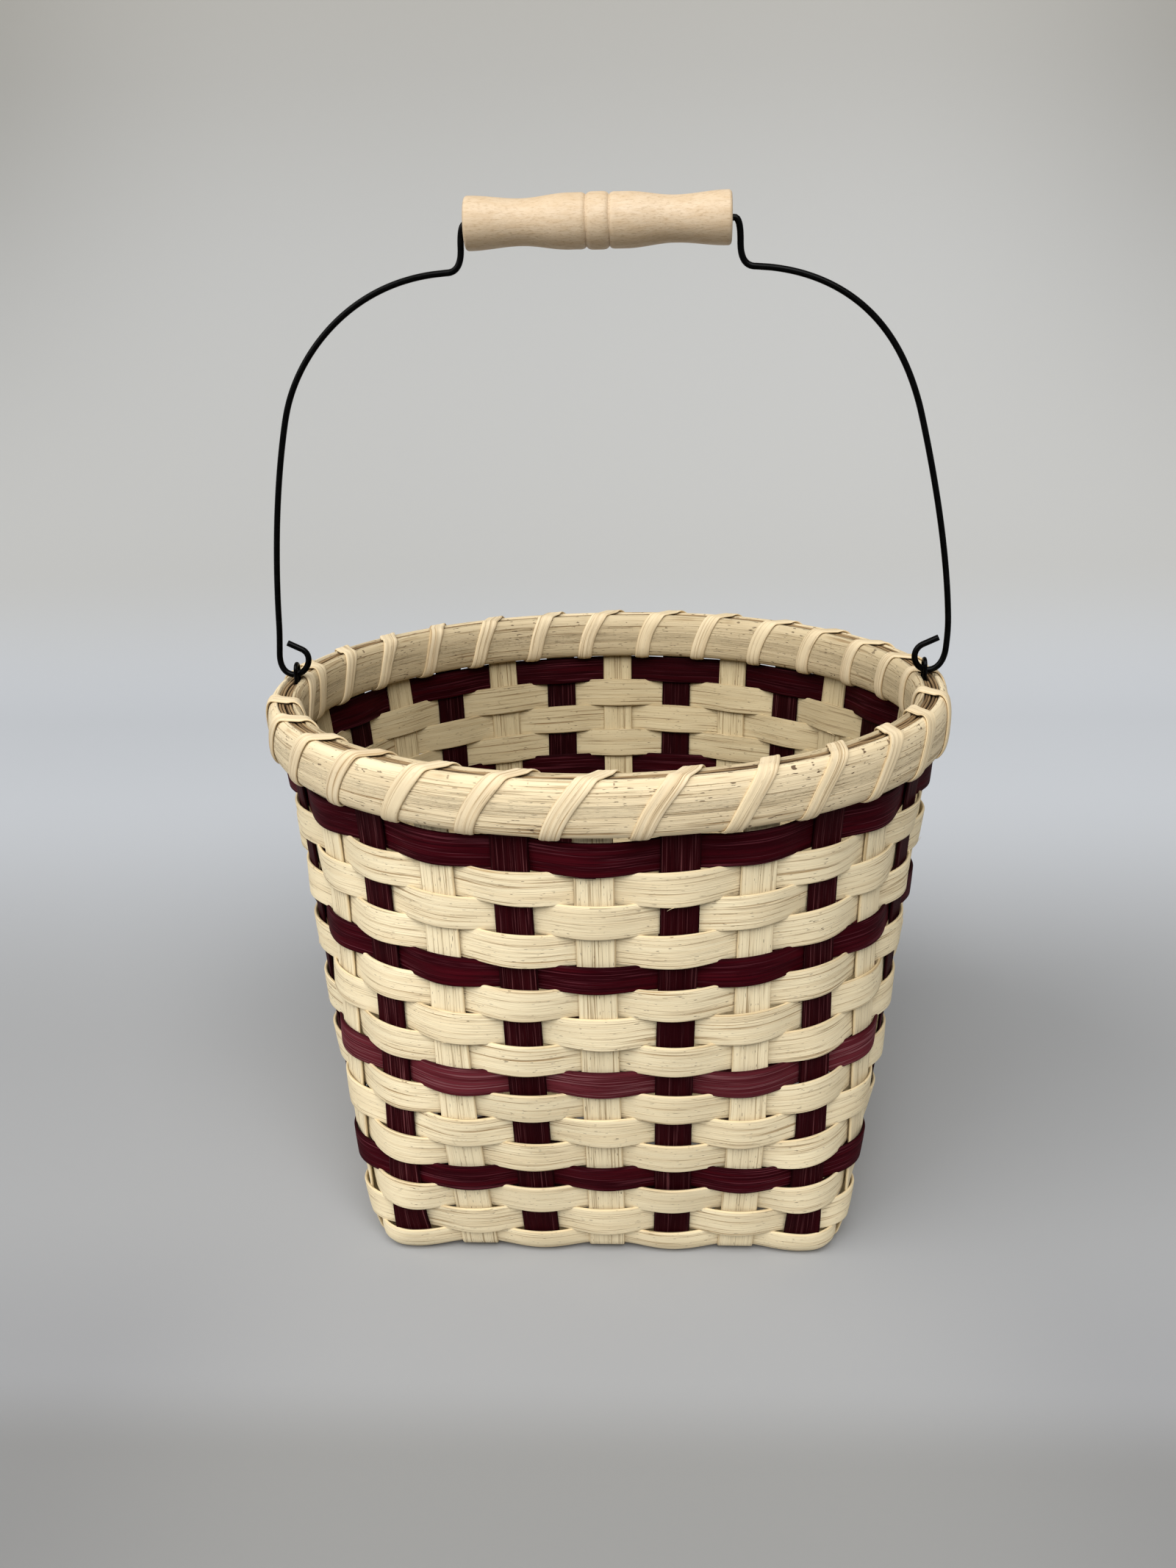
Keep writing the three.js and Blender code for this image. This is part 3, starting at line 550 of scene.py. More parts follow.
# The way of a strip down one wall, across the base and up the far wall, at lengths counted from the
# middle of the base: points, direction across the strip and direction out of the basket.
def stakeLine(toBack, fromMiddle, a):
    count = wall["stripsPerSide"]
    nearSide, nearPlace = (0, fromMiddle) if toBack else (3, -fromMiddle)
    nearT = nearSide * count + nearPlace + count / 2
    farT = (nearSide + 2) % 4 * count - nearPlace + count / 2
    climb = np.maximum(np.abs(a) - baseReach, 0.3)
    centre, across, outward = wallFrame(np.where(a < 0, nearT, farT), climb)
    across = np.where(a[:, None] < 0, across, -across)
    aside = fromMiddle * wall["stripPitch"] * stakes["baseSpread"]
    level = points(aside, a, baseMiddle) if toBack else points(a, aside, baseMiddle)
    levelAcross = (1.0, 0, 0) if toBack else (0, -1.0, 0)
    isLevel = np.abs(a)[:, None] < baseReach
    ways = ((level, centre), (levelAcross, across), ((0, 0, -1.0), outward))
    return [np.where(isLevel, onBase, onWall) for onBase, onWall in ways]


# A strip: an outline carried along that way. A dyed one passes over the middle one it crosses.
def stakeSkin(toBack, fromMiddle, rng):
    reach = baseReach + lengthAtHeight(rimTop - stakes["topBelowRim"])
    a = np.linspace(-reach, reach, int(2 * reach / stakes["step"]))
    share = (a + reach) / (2 * reach)
    centre, across, outward = stakeLine(toBack, fromMiddle, a)
    wave = baseWave(a, 1 if isDyedStrip(toBack, fromMiddle) else -1)
    fade = smoothStep(np.abs(a), baseReach, baseReach + stakes["wanderStart"])
    shift = wobble(rng, share, *stakes["wander"]) * fade
    centre = centre - outward * wave[:, None] + across * shift[:, None]
    facing = unit(np.cross(across, np.gradient(centre, axis=0)))
    outward = facing * np.sign((facing * outward).sum(-1))[:, None]
    u, v = reedOutline(stakes["width"], stakes["thickness"], stakes["edge"])
    widths = 1 + wobble(rng, share, *stakes["uneven"])
    seed = rng.uniform(0, grainSpan)
    # The inner face (v < 0) gets the darker rough side, which is partly painted shade inside the basket.
    grain = grainOf(a[:, None] / grainLength, seed, u + grainThrough * v + seed,
                    edgeShare(u, stakes["width"]), v < 0)
    return sweep(centre, across, outward, u * widths[:, None], v), grain, False


def makeStakes():
    rng = np.random.default_rng(stakes["seed"])
    for toBack, group in ((True, "front_to_back"), (False, "side_to_side")):
        for i in range(wall["stripsPerSide"]):
            skin = stakeSkin(toBack, i - outermost, rng)
            isDyed = isDyedStrip(toBack, i - outermost)
            reed, slot = (dyedStake, "dyed_reed") if isDyed else (naturalStake, "natural_reed")
            name = f"stake_{group}_{i + 1}"
            place(f"reed_{name}", [skin], "basket", [name], [reed], slot)


makeStakes()
print("stakes made")


weavers = {
    "rows": 16, "dyedEvery": 4, "paleRow": 8,
    "naturalWidth": 12.45,  # rows lap over their neighbours
    "dyedWidth": 11.0,
    "footWidth": 10.9,  # of the lowest row
    "naturalPitch": 11.35, "dyedPitch": 9.5, "firstStart": 2.375,
    "hiddenStart": 1.0,  # of the row behind the rim, above its lower edge
    "pinch": 0.035,  # share of the width lost between two stakes
    "footRoom": 2.3,  # left free under the lowest row
    "tilt": 0.9,  # up at the back and down in front
    "lashingRoom": 1.2,  # left free under the rim
    "thickness": 1.1, "edge": 0.5, "crown": 0.05,
    "swing": 1.85,  # out and in of the wall's middle at a stake
    "footSwing": 0.7,  # share of the swing left at the foot
    "swingGrows": (2, 12),  # lengths up the wall between which it grows
    "swingStray": (24, 0.025),  # number of waves, height
    "riseStray": (9, 0.12),
    "lean": (20, 0.035),  # slope of a strip's face off the wall's
    "widthStray": (12, 0.007),
    "stations": 24,  # sections from stake to stake
    "seed": 29,
}
slivers = {
    "perRow": 7,
    "lengths": (2.5, 13.0),  # shortest and longest
    "lifts": (0.25, 1.3),  # how far the loose end stands off
    "halfWidth": 0.2, "halfThickness": 0.09,
    "taper": 0.8,  # share of both lost at the loose end
    "inset": 0.35,  # of the root from the row's edge
    "spread": 0.6,  # of the loose end past the edge, as a share of its lift
    "off": 0.05,  # the row's face
    "edgeShares": (0.3, 0.7),  # how many are at the lower and the upper edge
    "roots": (-0.3, 0.1),  # where one may start, in stake pitches
    "sections": 9,
}


def isNarrowRow(row):
    return row % weavers["dyedEvery"] == 0 and row < weavers["rows"]


def rowWidth(row):
    if row == 1:
        return weavers["footWidth"]
    return weavers["dyedWidth"] if isNarrowRow(row) else weavers["naturalWidth"]


def rowPitch(row):
    return weavers["dyedPitch"] if isNarrowRow(row) else weavers["naturalPitch"]


# Length along the wall of a row's middle line; the top row is as wide as a natural one.
def rowMiddle(row):
    if row > weavers["rows"]:
        return lengthAtHeight(rimBottom) + weavers["hiddenStart"] + rowWidth(row) / 2
    return weavers["firstStart"] + sum(rowPitch(i) for i in range(1, row)) + rowPitch(row) / 2


# Out of the wall at one stake and inside it at the next, on a sine; odd rows pass outside the dyed
# stakes.
def weaverWave(row, t):
    return np.sin(np.pi * t) * (1 if row % 2 == 1 else -1)


# The rows' slant from front to back; the middle of the front is at half of the first side.
def rowTilt(t):
    return -weavers["tilt"] * np.cos(2 * np.pi * (t / stakeCount - 1 / 8))


# Loose slivers at a row's edges: each a splint along the row that thins and bends off towards its
# loose end, outside at a stake that the row passes outside, and inside at the others.
def sliverSkins(row, turns, wave, rise, rng):
    skins = []
    share = np.linspace(0, 1, slivers["sections"])
    for _ in range(slivers["perRow"]):
        length, lift = rng.uniform(*slivers["lengths"]), rng.uniform(*slivers["lifts"])
        edge, way = rng.choice([-1, 1], p=slivers["edgeShares"]), rng.choice([-1, 1])
        stake = rng.integers(stakeCount) + 0.5
        t = stake + way * (rng.uniform(*slivers["roots"]) + share * length / wall["stripPitch"])
        face = np.sign(weaverWave(row, stake))
        bend = lift * share ** 2
        swing = np.interp(t / stakeCount, turns, wave, period=1) * weavers["swing"]
        off = swing + face * (weavers["thickness"] / 2 + slivers["off"] + bend)
        s = rowMiddle(row) + np.interp(t / stakeCount, turns, rise, period=1)
        s = s + edge * (rowWidth(row) / 2 - slivers["inset"] + slivers["spread"] * bend)
        thin = 1 - slivers["taper"] * share[:, None]
        u = np.array([1, 0, -1, 0]) * slivers["halfWidth"] * thin
        v = np.array([0, 1, 0, -1]) * slivers["halfThickness"] * thin
        centre, _, outward = wallFrame(t[:, None], s[:, None] + u)
        grid = centre + outward * (off[:, None] + v)[..., None]
        skins.append((grid, grainOf(t[:, None], row, u + 3 * stake, 1.0), False))
    return skins


# A weaver: an outline carried round the wall, with small wobbles of its height, width and swing.
def weaverSkins(row, rng):
    count = stakeCount * weavers["stations"]
    t = np.arange(count) / weavers["stations"]
    turns = t / stakeCount
    width = rowWidth(row)
    u, v = reedOutline(width, weavers["thickness"], weavers["edge"], weavers["crown"])
    wave = weaverWave(row, t) * (1 + wobble(rng, turns, *weavers["swingStray"]))
    rise = rowTilt(t) + wobble(rng, turns, *weavers["riseStray"])
    lean = wobble(rng, turns, *weavers["lean"])
    widths = 1 + wobble(rng, turns, *weavers["widthStray"]) - weavers["pinch"] * np.cos(np.pi * t) ** 2
    middle = np.maximum(rowMiddle(row) + rise, weavers["footRoom"] + width / 2)
    s = middle[:, None] + u * widths[:, None]
    if row <= weavers["rows"]:
        s = np.minimum(s, lengthAtHeight(rimBottom - weavers["lashingRoom"]))
    centre, _, outward = wallFrame(t[:, None], s)
    swing = weavers["swing"] * mix(weavers["footSwing"], 1, smoothStep(s, *weavers["swingGrows"]))
    offset = wave[:, None] * swing + v + lean[:, None] * u
    across = u + grainThrough * v + rng.uniform(0, grainSpan)
    # The inner face (v < 0) gets the darker rough side, which is partly painted shade inside the basket.
    grain = loopGrain(2 * np.pi * turns[:, None], across, edgeShare(u, width), v < 0)
    skins = [(centre + outward * offset[..., None], grain, True)]
    if 1 < row <= weavers["rows"] and not isNarrowRow(row):
        skins = skins + sliverSkins(row, turns, wave, rise, rng)
    return skins


def makeWeavers():
    rng = np.random.default_rng(weavers["seed"])
    for row in range(1, weavers["rows"] + 2):
        isDyed = row % weavers["dyedEvery"] == 0
        reed, slot = (dyedReed, "dyed_reed") if isDyed else (naturalReed, "natural_reed")
        if row == weavers["paleRow"]:
            reed = paleDyedReed
        name = f"weaver_row_{row:02d}"
        place(f"reed_{name}", weaverSkins(row, rng), "basket", [name], [reed], slot)


makeWeavers()
print("weavers made")


rim = {
    "thickness": 3.75, "slotHalf": 2.65,
    "roundness": 2.6,  # power of the section's curve
    "stations": 560, "unevenOut": 0.05, "unevenUp": 0.08,
    "waves": 9,  # of the unevenness round the rim
    "grainThrough": 1.2,
    # How much the whole inner hoop is darkened: partly its duller face, partly painted shade inside the
    # basket.
    "innerHoopShade": 0.6,  # the inner hoop is duller
    "seed": 47,
}
rimMiddle = (rimBottom + rimTop) / 2
rimRng = np.random.default_rng(rim["seed"])
rimCounts = np.arange(1, rim["waves"] + 1)
rimPhases = rimRng.uniform(0, 2 * np.pi, (2, rim["waves"]))
rimHeights = rimRng.normal(0, 1, (2, rim["waves"])) / np.sqrt(rimCounts)
rimHeights *= [[rim["unevenOut"]], [rim["unevenUp"]]]


# How far the rim strays out and up at an angle, as sines; the hoops and the lashing share it.
def rimStray(angle):
    waves = np.sin(rimCounts * angle[:, None, None] + rimPhases) * rimHeights
    return waves.sum(-1).T


def rimPlace(angle, radial, z):
    radius = wall["topRadius"] + radial
    return points(radius * np.cos(angle), radius * np.sin(angle), z)


# One hoop: a section that is flat towards the slot and a superellipse on its free face.
def hoopSkin(outward, rng):
    angle = np.arange(rim["stations"])[:, None] * 2 * np.pi / rim["stations"]
    deep, rise = superellipse(np.linspace(-np.pi / 2, np.pi / 2, 25), rim["roundness"])
    back = np.linspace(1, -1, 8)[1:-1]
    deep = rim["thickness"] * np.concatenate([deep, np.zeros(back.size)])
    z = wall["rimHeight"] / 2 * np.concatenate([rise, back])
    out, up = rimStray(angle[:, 0])[..., None]
    grid = rimPlace(angle, outward * (rim["slotHalf"] + deep) + out, rimMiddle + z + up)
    across = z + rim["grainThrough"] * deep * np.sign(z) + rng.uniform(0, grainSpan)
    # The inner hoop gets part of the darker rough side, which is partly painted shade inside the basket.
    return grid, loopGrain(angle, across, rough=rim["innerHoopShade"] if outward < 0 else 0.0), True


filler = {
    "radius": 1.08,  # of the room that a pair of strands fills
    "strandHalfWidth": 0.5, "strandHalfHeight": 0.85,
    "roundness": 2.8,  # power of a strand's section
    "topBelowRim": 0.3, "drop": 0.1,
    "dropStray": (18, 0.22),  # further down: number of waves, height
    "inStray": (30, 0.05),
    # Where the painted shade on a strand's sides, in the crevices against the other strand and the hoops,
    # sets in.
    "creviceShadeStart": 0.375,  # where the edge's tone sets in
    "earRoom": 0.0297,  # angle left free on each side of an ear
    "step": 2.0, "sides": 16,
}


# Two flat strands side by side: each a superellipse carried round, straying a little in and down.
def strandSkins(start, end, radial, rng):
    isLoop = end - start >= 2 * np.pi
    count = int((end - start) * (wall["topRadius"] + radial) / filler["step"])
    share = np.arange(count) / (count if isLoop else count - 1)
    angle = start + (end - start) * share
    around = np.arange(filler["sides"]) * 2 * np.pi / filler["sides"]
    wide, tall = superellipse(around, filler["roundness"])
    # Painted shade on each strand's sides, in the crevices against the other strand and the hoops.
    edge = edgeShare(wide, 2.0, filler["creviceShadeStart"])
    z = rimTop - filler["topBelowRim"] - filler["strandHalfHeight"]
    out, up = rimStray(angle)
    skins = []
    for side in (-1, 1):
        stray = np.abs(wobble(rng, share, *filler["inStray"]))
        drop = filler["drop"] + np.abs(wobble(rng, share, *filler["dropStray"]))
        r = radial + out + side * (filler["radius"] - filler["strandHalfWidth"] - stray)
        grid = rimPlace(angle[:, None], r[:, None] + filler["strandHalfWidth"] * wide,
                        (z + up - drop)[:, None] + filler["strandHalfHeight"] * tall)
        across = around * filler["strandHalfWidth"] + rng.uniform(0, grainSpan)
        skins.append((grid, loopGrain(angle[:, None], across, edge), isLoop))
    return skins


lashing = {
    "width": 6.3,
    "thickness": 0.6, "crown": 0.35,  # at the edges, and how much more in the middle
    "edge": 0.45,
    "ridge": 0.05, "ridgePitch": 2.1,  # low ribs along the strip
    "gap": 0.05,  # off the hoops
    "lead": 0.045,  # of a stake's pitch; nothing in front, double at the back
    "haste": 0.65,  # how unevenly the way round is made
    "hastePlace": 0.43,  # share of a turn at which the strip moves on fastest
    "stray": (50, 0.022),  # of its place: number of waves, height
    "widthStray": (70, 0.03), "earPush": 9.05, "pushSpan": 0.35, "perTurn": 72,
    "endGap": 0.06,  # share of the last turn that is left out
    "slopeStep": 0.004,  # share of a turn over which its slope is taken
}


# The lashing's way round the rim seen end on: the hoops' curve moved out by the gap and half the
# strip, straight across the slot. Gives points and their shares of the whole length.
def wrapOutline():
    deep, rise = superellipse(np.linspace(-np.pi / 2, np.pi / 2, 121), rim["roundness"])
    face = points(rim["slotHalf"] + rim["thickness"] * deep, wall["rimHeight"] / 2 * rise)
    normal = unit(np.gradient(face, axis=0)[:, ::-1] * (1, -1))
    face = face + (lashing["gap"] + lashing["thickness"] / 2) * normal
    below, over = [[0, face[0, 1]]], [[0, face[-1, 1]]]
    ring = np.concatenate([below, face, over, face[::-1] * (-1, 1), below])
    lengths = lengthAlong(ring)
    return ring, lengths / lengths[-1]


# Angle round the rim after a number of turns. The strip moves on most over the outer face and the
# top, and is pushed to the back beside each ear.
def lashingAngle(turns, stray):
    perTurn = 2 * np.pi / stakeCount
    haste = lashing["haste"] / (2 * np.pi)
    phase = 2 * np.pi * lashing["hastePlace"]
    even = (turns - 0.5) * perTurn
    lead = lashing["lead"] * (1 + np.sin(even)) + stray
    ahead = haste * (np.sin(2 * np.pi * turns - phase) + np.sin(phase)) + lead
    angle = even + ahead * perTurn
    push = lashing["earPush"] / wall["topRadius"]
    for ear, towardsBack in ((0, 1), (stakeCount / 2, -1), (stakeCount, 1)):
        nearness = np.exp(-(((turns - 0.5 - ear) / lashing["pushSpan"]) ** 2))
        angle = mix(angle, even + towardsBack * push, nearness)
    return angle


# The strip: an outline carried along that way, with its face square to the way seen end on.
def lashingSkin(rng):
    turns = np.linspace(0.0, stakeCount - lashing["endGap"], stakeCount * lashing["perTurn"])
    ring, ringShare = wrapOutline()
    radial, z = pointsAt(ring, ringShare, turns % 1).T
    shifts = (lashing["slopeStep"], -lashing["slopeStep"])
    ahead, behind = (pointsAt(ring, ringShare, (turns % 1 + shift) % 1) for shift in shifts)
    stepOut, stepUp = (ahead - behind).T
    angle = lashingAngle(turns, wobble(rng, turns / stakeCount, *lashing["stray"]))
    out, up = rimStray(angle)
    centre = rimPlace(angle, radial + out, rimMiddle + z + up)
    along = unit(np.gradient(centre, axis=0))
    away = unit(points(np.cos(angle) * stepUp, np.sin(angle) * stepUp, -stepOut))
    across = unit(np.cross(along, away))
    outward = unit(np.cross(across, along))
    u, v = reedOutline(*(lashing[key] for key in ("width", "thickness", "edge", "crown")), faceSteps=14)
    v = v + np.where(v > 0, lashing["ridge"] * np.cos(2 * np.pi * u / lashing["ridgePitch"]), 0)
    widths = 1 + wobble(rng, turns / stakeCount, *lashing["widthStray"])
    seed = rng.uniform(0, grainSpan)
    grain = grainOf(turns[:, None], seed, u + grainThrough * v + seed, edgeShare(u, lashing["width"]))
    return sweep(centre, across, outward, u * widths[:, None], v), grain, False


ears = {"wireRadius": 0.75, "spread": 2.4, "topAboveRim": 6.6, "legDepth": 14.0, "sides": 16}
earRadius = wall["topRadius"] - wall["stakeThickness"] / 2 - wall["clearance"] - ears["wireRadius"]


# A round wire: a circle carried along a path, on frames that keep the crosswise direction.
def wireSkin(path, crosswise, radius, sides, rng):
    level = unit(np.cross(crosswise, np.gradient(path, axis=0)))
    around = np.arange(sides) * 2 * np.pi / sides
    grid = sweep(path, level, np.full_like(path, crosswise), radius * np.cos(around), radius * np.sin(around))
    grain = grainOf(lengthAlong(path)[:, None] / grainLength, rng.uniform(0, grainSpan), around * radius)
    return grid, grain, False


# A hairpin: up one leg, round half a circle and down the other.
def earPath(side):
    bendCentre = rimTop + ears["topAboveRim"] - ears["spread"]
    leg = np.linspace(rimTop - ears["legDepth"], bendCentre, 24)[:-1]
    turn = np.linspace(np.pi, 0, 28)
    y = ears["spread"] * np.concatenate([np.full(leg.size, -1), np.cos(turn), np.full(leg.size, 1)])
    z = np.concatenate([leg, bendCentre + ears["spread"] * np.sin(turn), leg[::-1]])
    return points(side * earRadius, y, z)


def makeRim():
    rng = np.random.default_rng(rim["seed"] + 1)
    for side, name in ((1, "outer"), (-1, "inner")):
        place(f"hoop_{name}", [hoopSkin(side, rng)], "basket", [f"rim_{name}"], [rimReed], "rim_reed")
    off = wall["clearance"] / 2 + (2 * rim["slotHalf"] - 3 * wall["clearance"]) / 4
    room = filler["earRoom"]
    strands = (("outer", 0, 2 * np.pi, off), ("inner_back", room, np.pi - room, -off),
               ("inner_front", np.pi + room, 2 * np.pi - room, -off))
    for name, start, end, radial in strands:
        skins = strandSkins(start, end, radial, rng)
        place(f"filler_{name}", skins, "basket", [f"rim_filler_{name}"], [fillerReed], "filler_strand")
    place("lashing_strip", [lashingSkin(rng)], "basket", ["rim_lashing"], [lashingReed], "lashing_reed")
    for side, name in ((1, "right"), (-1, "left")):
        skin = wireSkin(earPath(side), (1.0, 0, 0), ears["wireRadius"], ears["sides"], rng)
        place(f"ear_{name}", [skin], "basket", [f"bail_ear_{name}"], [blackWire, cutSteel], "black_wire")


makeRim()
print("rim made")


bail = {
    "wireRadius": 1.14, "pivotAboveRim": 2.5, "hookOffset": 1.1,
    "gripRise": 158.8, "riserDrop": 15.9,
    "riserBend": (2.1, 8.0), "ledgeBend": (5.4, 8.0),  # from a corner to where its bend starts
    "shoulder": (10.1, -0.4),  # from the riser's foot; the next four from the hook's foot
    "elbow": (-5.4, 93.1), "armEnd": (5.7, 8.2), "curl": (-3.0, 9.6), "tip": (2.6, 12.2),
    "shoulderPull": (30.4, -3.5), "elbowPull": (-6.1, 24.5), "armPull": (0, 28.4), "hookPull": (0, -5.0),
    "footPullOut": (3.6, 0), "footPullIn": (-4.8, 0), "curlPull": (-4.6, -2.6),
    "endClearance": 1.3,  # between the wire and the end of a grip in the middle
    "skew": 1.4,  # sideways, as the real wire is a little bent
    "skewTurn": 0.78,  # shares of the height up to the ledges: of half a wave of the skew,
    "skewFadeIn": (-0.03, 0.14), "skewFadeOut": (0.68, 1.0),  # and of its start and end
    "step": 0.7, "sides": 18, "seed": 83,
}
grip = {
    "length": 91.4, "bore": 1.8,
    "middle": -0.6,  # along the wire, which it slides on
    "bead": (4.05, 9.4),  # half its width and its radius
    "groove": (1.8, 8.3),  # width and radius
    "swell": (9.7, 9.2), "waist": (26.4, 7.7),  # place from the middle and radius
    "end": (1.2, 8.95),  # radius of the rounded edge and of the end itself
    "mouth": ((0, 0.35), (0.1, 0.1), (0.45, 0)),  # where the bore opens: depths and flares
    "segments": 128,
}
pivotHeight = rimTop + bail["pivotAboveRim"]
gripHeight = pivotHeight + bail["gripRise"]


# A bow through its end points, drawn towards the ones between: neighbours are mixed until one is left.
def bow(stretch, steps):
    t = np.linspace(0, 1, steps + 1)[1:, None]
    left = [np.array(corner, float) for corner in stretch]
    while len(left) > 1:
        left = [mix(a, b, t) for a, b in zip(left, left[1:])]
    return left[0]


# Half of the bail's middle line, from inside the grip to the hook's tip, at an even step.
def bailHalf():
    b = bail
    foot = np.array([earRadius + b["hookOffset"], pivotHeight])
    riser = np.array([grip["length"] / 2 + b["endClearance"] + b["wireRadius"], gripHeight])
    corner = riser - (0, b["riserDrop"])
    bore, riserTop = riser - (b["riserBend"][0], 0), riser - (0, b["riserBend"][1])
    ledge, riserLow = corner + (b["ledgeBend"][0], 0), corner + (0, b["ledgeBend"][1])
    shoulder = corner + b["shoulder"]
    elbow, armEnd, curl, tip = foot + [b[place] for place in ("elbow", "armEnd", "curl", "tip")]
    stretches = [
        [(0, gripHeight), bore],
        [bore, riser, riserTop],
        [riserTop, riserLow],
        [riserLow, corner, ledge],
        [ledge, shoulder],
        [shoulder, shoulder + b["shoulderPull"], elbow + b["elbowPull"], elbow],
        [elbow, elbow - b["elbowPull"], armEnd + b["armPull"], armEnd],
        [armEnd, armEnd + b["hookPull"], foot + b["footPullOut"], foot],
        [foot, foot + b["footPullIn"], curl + b["curlPull"], curl],
        [curl, tip],
    ]
    line = np.concatenate([[[0.0, gripHeight]]] + [bow(stretch, 60) for stretch in stretches])
    lengths = lengthAlong(line)
    return pointsAt(line, lengths, np.linspace(0, lengths[-1], int(lengths[-1] / b["step"])))


# Both halves, skewed sideways by a cosine of the height that starts over the hooks and ends below
# the ledges.
def bailPath():
    half = bailHalf()
    flat = np.concatenate([half[1:][::-1] * (-1, 1), half])
    up = (flat[:, 1] - pivotHeight) / (bail["gripRise"] - bail["riserDrop"])
    skew = bail["skew"] * np.cos(np.pi * up / bail["skewTurn"])
    skew = skew * smoothStep(up, *bail["skewFadeIn"]) * (1 - smoothStep(up, *bail["skewFadeOut"]))
    return points(flat[:, 0] + skew, 0.0, flat[:, 1])


# Half of the grip's outline as place along it and radius: bead, groove, swell, waist, end, face and
# the bore's mouth, with half a cosine from one radius to the next and a quarter circle at the end.
def gripOutline():
    half = grip["length"] / 2
    (bead, beadRadius), (grooveWidth, grooveRadius) = grip["bead"], grip["groove"]
    (swell, swellRadius), (waist, waistRadius) = grip["swell"], grip["waist"]
    edge, endRadius = grip["end"]
    mouth = (half, grip["bore"]) + np.array(grip["mouth"]) * (-1, 1)
    crown, cut = np.linspace(0, 1, 14), np.linspace(0, 1, 10)[1:]
    share, quarter = np.linspace(0, 1, 40)[1:], np.linspace(0, np.pi / 2, 8)[1:]
    wave = (1 - np.cos(np.pi * share)) / 2
    stretches = (
        (crown * bead, mix(beadRadius, grooveRadius, crown ** 5.0)),
        (bead + cut * grooveWidth, mix(grooveRadius, swellRadius, np.sqrt(np.sin(np.pi / 2 * cut)))),
        (np.linspace(bead + grooveWidth, swell, 4)[1:], swellRadius),
        (mix(swell, waist, share), mix(swellRadius, waistRadius, wave)),
        (mix(waist, half - edge, share), mix(waistRadius, endRadius, wave)),
        (half - edge * (1 - np.sin(quarter)), endRadius - edge * (1 - np.cos(quarter))),
        (half, np.linspace(endRadius - edge, mouth[0, 1], 8)[1:]),
        mouth[1:].T,
    )
    return np.concatenate([points(*stretch) for stretch in stretches]).T


# The outline and its mirror image turned about the bore; the rows of this skin go round it.
def gripSkin():
    x, r = gripOutline()
    x = np.concatenate([-x[::-1], x[1:]]) + grip["middle"]
    r = np.concatenate([r[::-1], r[1:]])
    angle = np.arange(grip["segments"])[:, None] * 2 * np.pi / grip["segments"]
    grid = points(x, r * np.cos(angle), gripHeight + r * np.sin(angle))
    return grid, grainOf(x / grainLength, 0.0, np.zeros_like(angle)), True


def makeHandle():
    rng = np.random.default_rng(bail["seed"])
    skin = wireSkin(bailPath(), (0, 1.0, 0), bail["wireRadius"], bail["sides"], rng)
    place("bail_rod", [skin], "bail", ["bail_wire"], [blackWire, cutSteel], "black_wire")
    place("grip_turned", [gripSkin()], "grip", ["wooden_grip"], [turnedWood], "turned_wood")


makeHandle()
print("handle made")


studio = {
    "floorFront": -1.6, "floorBack": 0.62, "bend": 0.55, "halfWidth": 3.0, "wallTop": 2.8,
    # Paper tones with the fall of light painted in: painted shade in front, up the wall, to the left and at
    # the sides, a painted pool of light behind.
    "frontPaperLighting": (142, 142, 141), "nearPaperLighting": (161, 162, 164), "farPaperLighting": (201, 205, 211),
    "wallPaperLighting": (191, 191, 189), "topPaperLighting": (180, 177, 170), "leftPaperShade": (241, 241, 241),
    "sidePaperShade": (225, 224, 222), "sideFrontPaperShade": (241, 241, 242),
    "keyEnergy": 78.0, "keySize": 2.6, "keyPlace": (-2.0, -1.35, 2.15),
    "fillEnergy": 96.0, "fillSize": 2.2, "fillPlace": (0.35, -2.0, 2.4),
    "lampAim": (0, 0, 0.15),
    "worldColour": (1.0, 0.99, 0.97, 1.0), "worldStrength": 0.06, "worldPaleness": 0.48,
}


# Matt paper whose colour carries painted light and shade: painted shade darkest in front of the
# basket, lightest and coolest behind it as a painted pool of light, and painted shade again up the
# wall, towards the left and away from the middle.
def paperFinish():
    finish = Finish("paper", 0.9, Specular_IOR_Level=0.1)
    spot = finish.objectPlace()
    aside, back, height = (finish.along(spot, axis) for axis in ((1, 0, 0), (0, 1, 0), (0, 0, 1)))
    sideShadeUpTheWall = finish.ramp((aside + 0.08) * (aside + 0.08), 0.06, 0.5) * finish.ramp(height, 0.0, 0.6)
    nearFront = finish.ramp(back * -1, 0.05, 0.15) * finish.ramp(back, -0.6, -0.3)
    sideShadeInFront = finish.ramp(aside * aside, 0.003, 0.03) * nearFront
    layers = (
        (finish.ramp(back, -0.19, -0.15), "nearPaperLighting", "MIX"),
        (finish.ramp(back, 0.05, 0.45), "farPaperLighting", "MIX"),
        (finish.ramp(height, -0.02, 0.08), "wallPaperLighting", "MIX"),
        (finish.ramp(height, 0.3, 0.8), "topPaperLighting", "MIX"),
        (finish.ramp(aside * -1, -0.5, 0.5), "leftPaperShade", "MULTIPLY"),
        (sideShadeUpTheWall, "sidePaperShade", "MULTIPLY"),
        (sideShadeInFront, "sideFrontPaperShade", "MULTIPLY"),
    )
    colour = studio["frontPaperLighting"]
    for share, tone, kind in layers:
        colour = finish.blend(share, colour, studio[tone], kind)
    return finish.connect(Base_Color=colour)


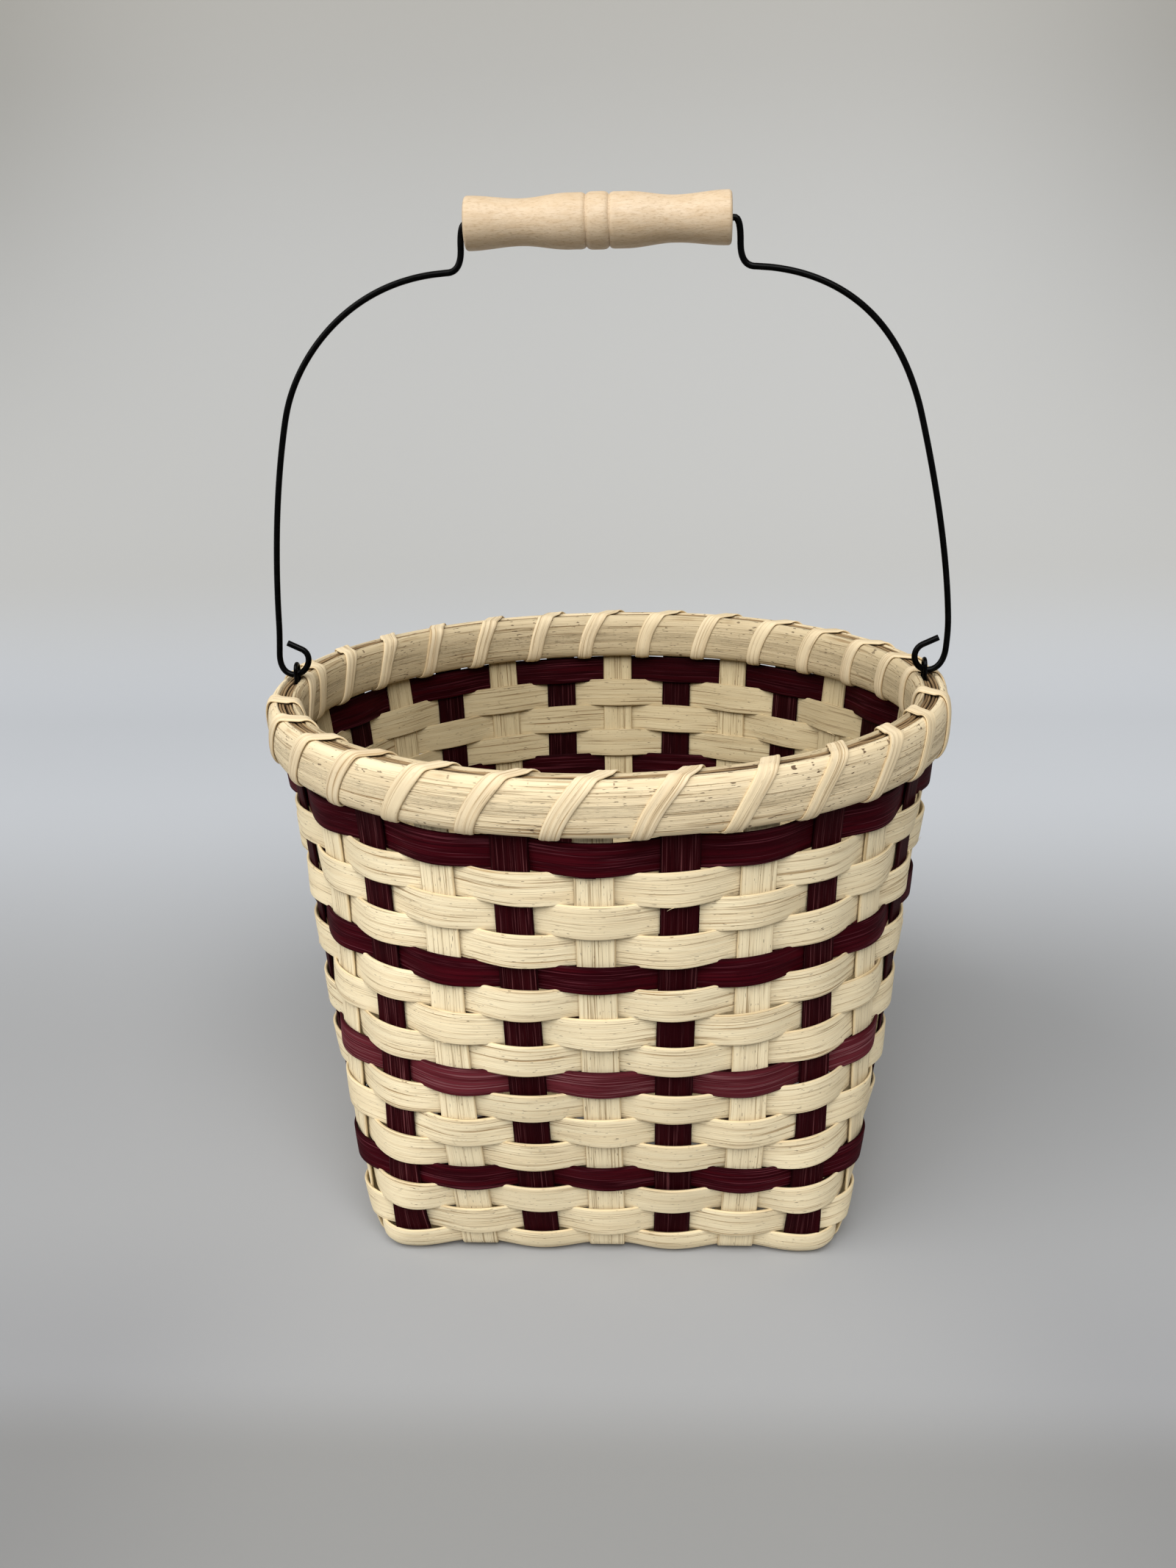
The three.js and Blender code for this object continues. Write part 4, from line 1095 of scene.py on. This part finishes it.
# The paper: flat in front, a quarter circle behind the basket and then straight up.
def makeBackdrop():
    quarter = np.linspace(0, np.pi / 2, 24)
    y = studio["floorBack"] + studio["bend"] * np.sin(quarter)
    y = np.concatenate([[studio["floorFront"]], y, y[-1:]])
    z = np.concatenate([[0], studio["bend"] * (1 - np.cos(quarter)), [studio["wallTop"]]])
    x = np.array([-1, 1]) * studio["halfWidth"]
    grid = points(x, y[:, None], z[:, None]).reshape(-1, 3)
    faces = np.arange(len(y) - 1)[:, None] * 2 + np.array([0, 1, 3, 2])
    mesh = bpy.data.meshes.new("paper")
    mesh.from_pydata(grid.tolist(), [], faces.tolist())
    mesh.polygons.foreach_set("use_smooth", np.ones(len(faces), bool))
    mesh.materials.append(paperFinish())
    paper = bpy.data.objects.new("paper", mesh)
    scene.collection.objects.link(paper)


def makeLamp(name):
    lamp = bpy.data.lights.new(name, "AREA")
    lamp.shape = "SQUARE"
    lamp.size = studio[f"{name}Size"]
    lamp.energy = studio[f"{name}Energy"]
    holder = bpy.data.objects.new(name, lamp)
    scene.collection.objects.link(holder)
    spot = studio[f"{name}Place"]
    back = unit(np.array(spot) - studio["lampAim"])
    right = unit(np.cross([0, 0, 1.0], back))
    turn = Matrix((right, np.cross(back, right), back)).transposed()
    holder.matrix_world = Matrix.Translation(spot) @ turn.to_4x4()


class Room(Finish):
    def __init__(self, world):
        self.tree = world.node_tree


# The room gives hardly any light, but looks pale where it is seen past the paper or in a gloss:
# strength = weak + (pale - weak) * seen.
def makeWorld():
    world = bpy.data.worlds.new("studio")
    world.use_nodes = True
    room = Room(world)
    background = room.tree.nodes["Background"]
    background.inputs["Color"].default_value = studio["worldColour"]
    path = room.node("LightPath", {}, {})
    rays = [Value(room, path.outputs[f"Is {kind} Ray"]) for kind in ("Camera", "Glossy", "Transmission")]
    strength = sum(rays) * (studio["worldPaleness"] - studio["worldStrength"]) + studio["worldStrength"]
    room.tree.links.new(strength.socket, background.inputs["Strength"])
    scene.world = world


def makeStudio():
    makeBackdrop()
    makeLamp("key")
    makeLamp("fill")
    makeWorld()
    scene.view_settings.view_transform = "Standard"


makeStudio()
print("studio made")
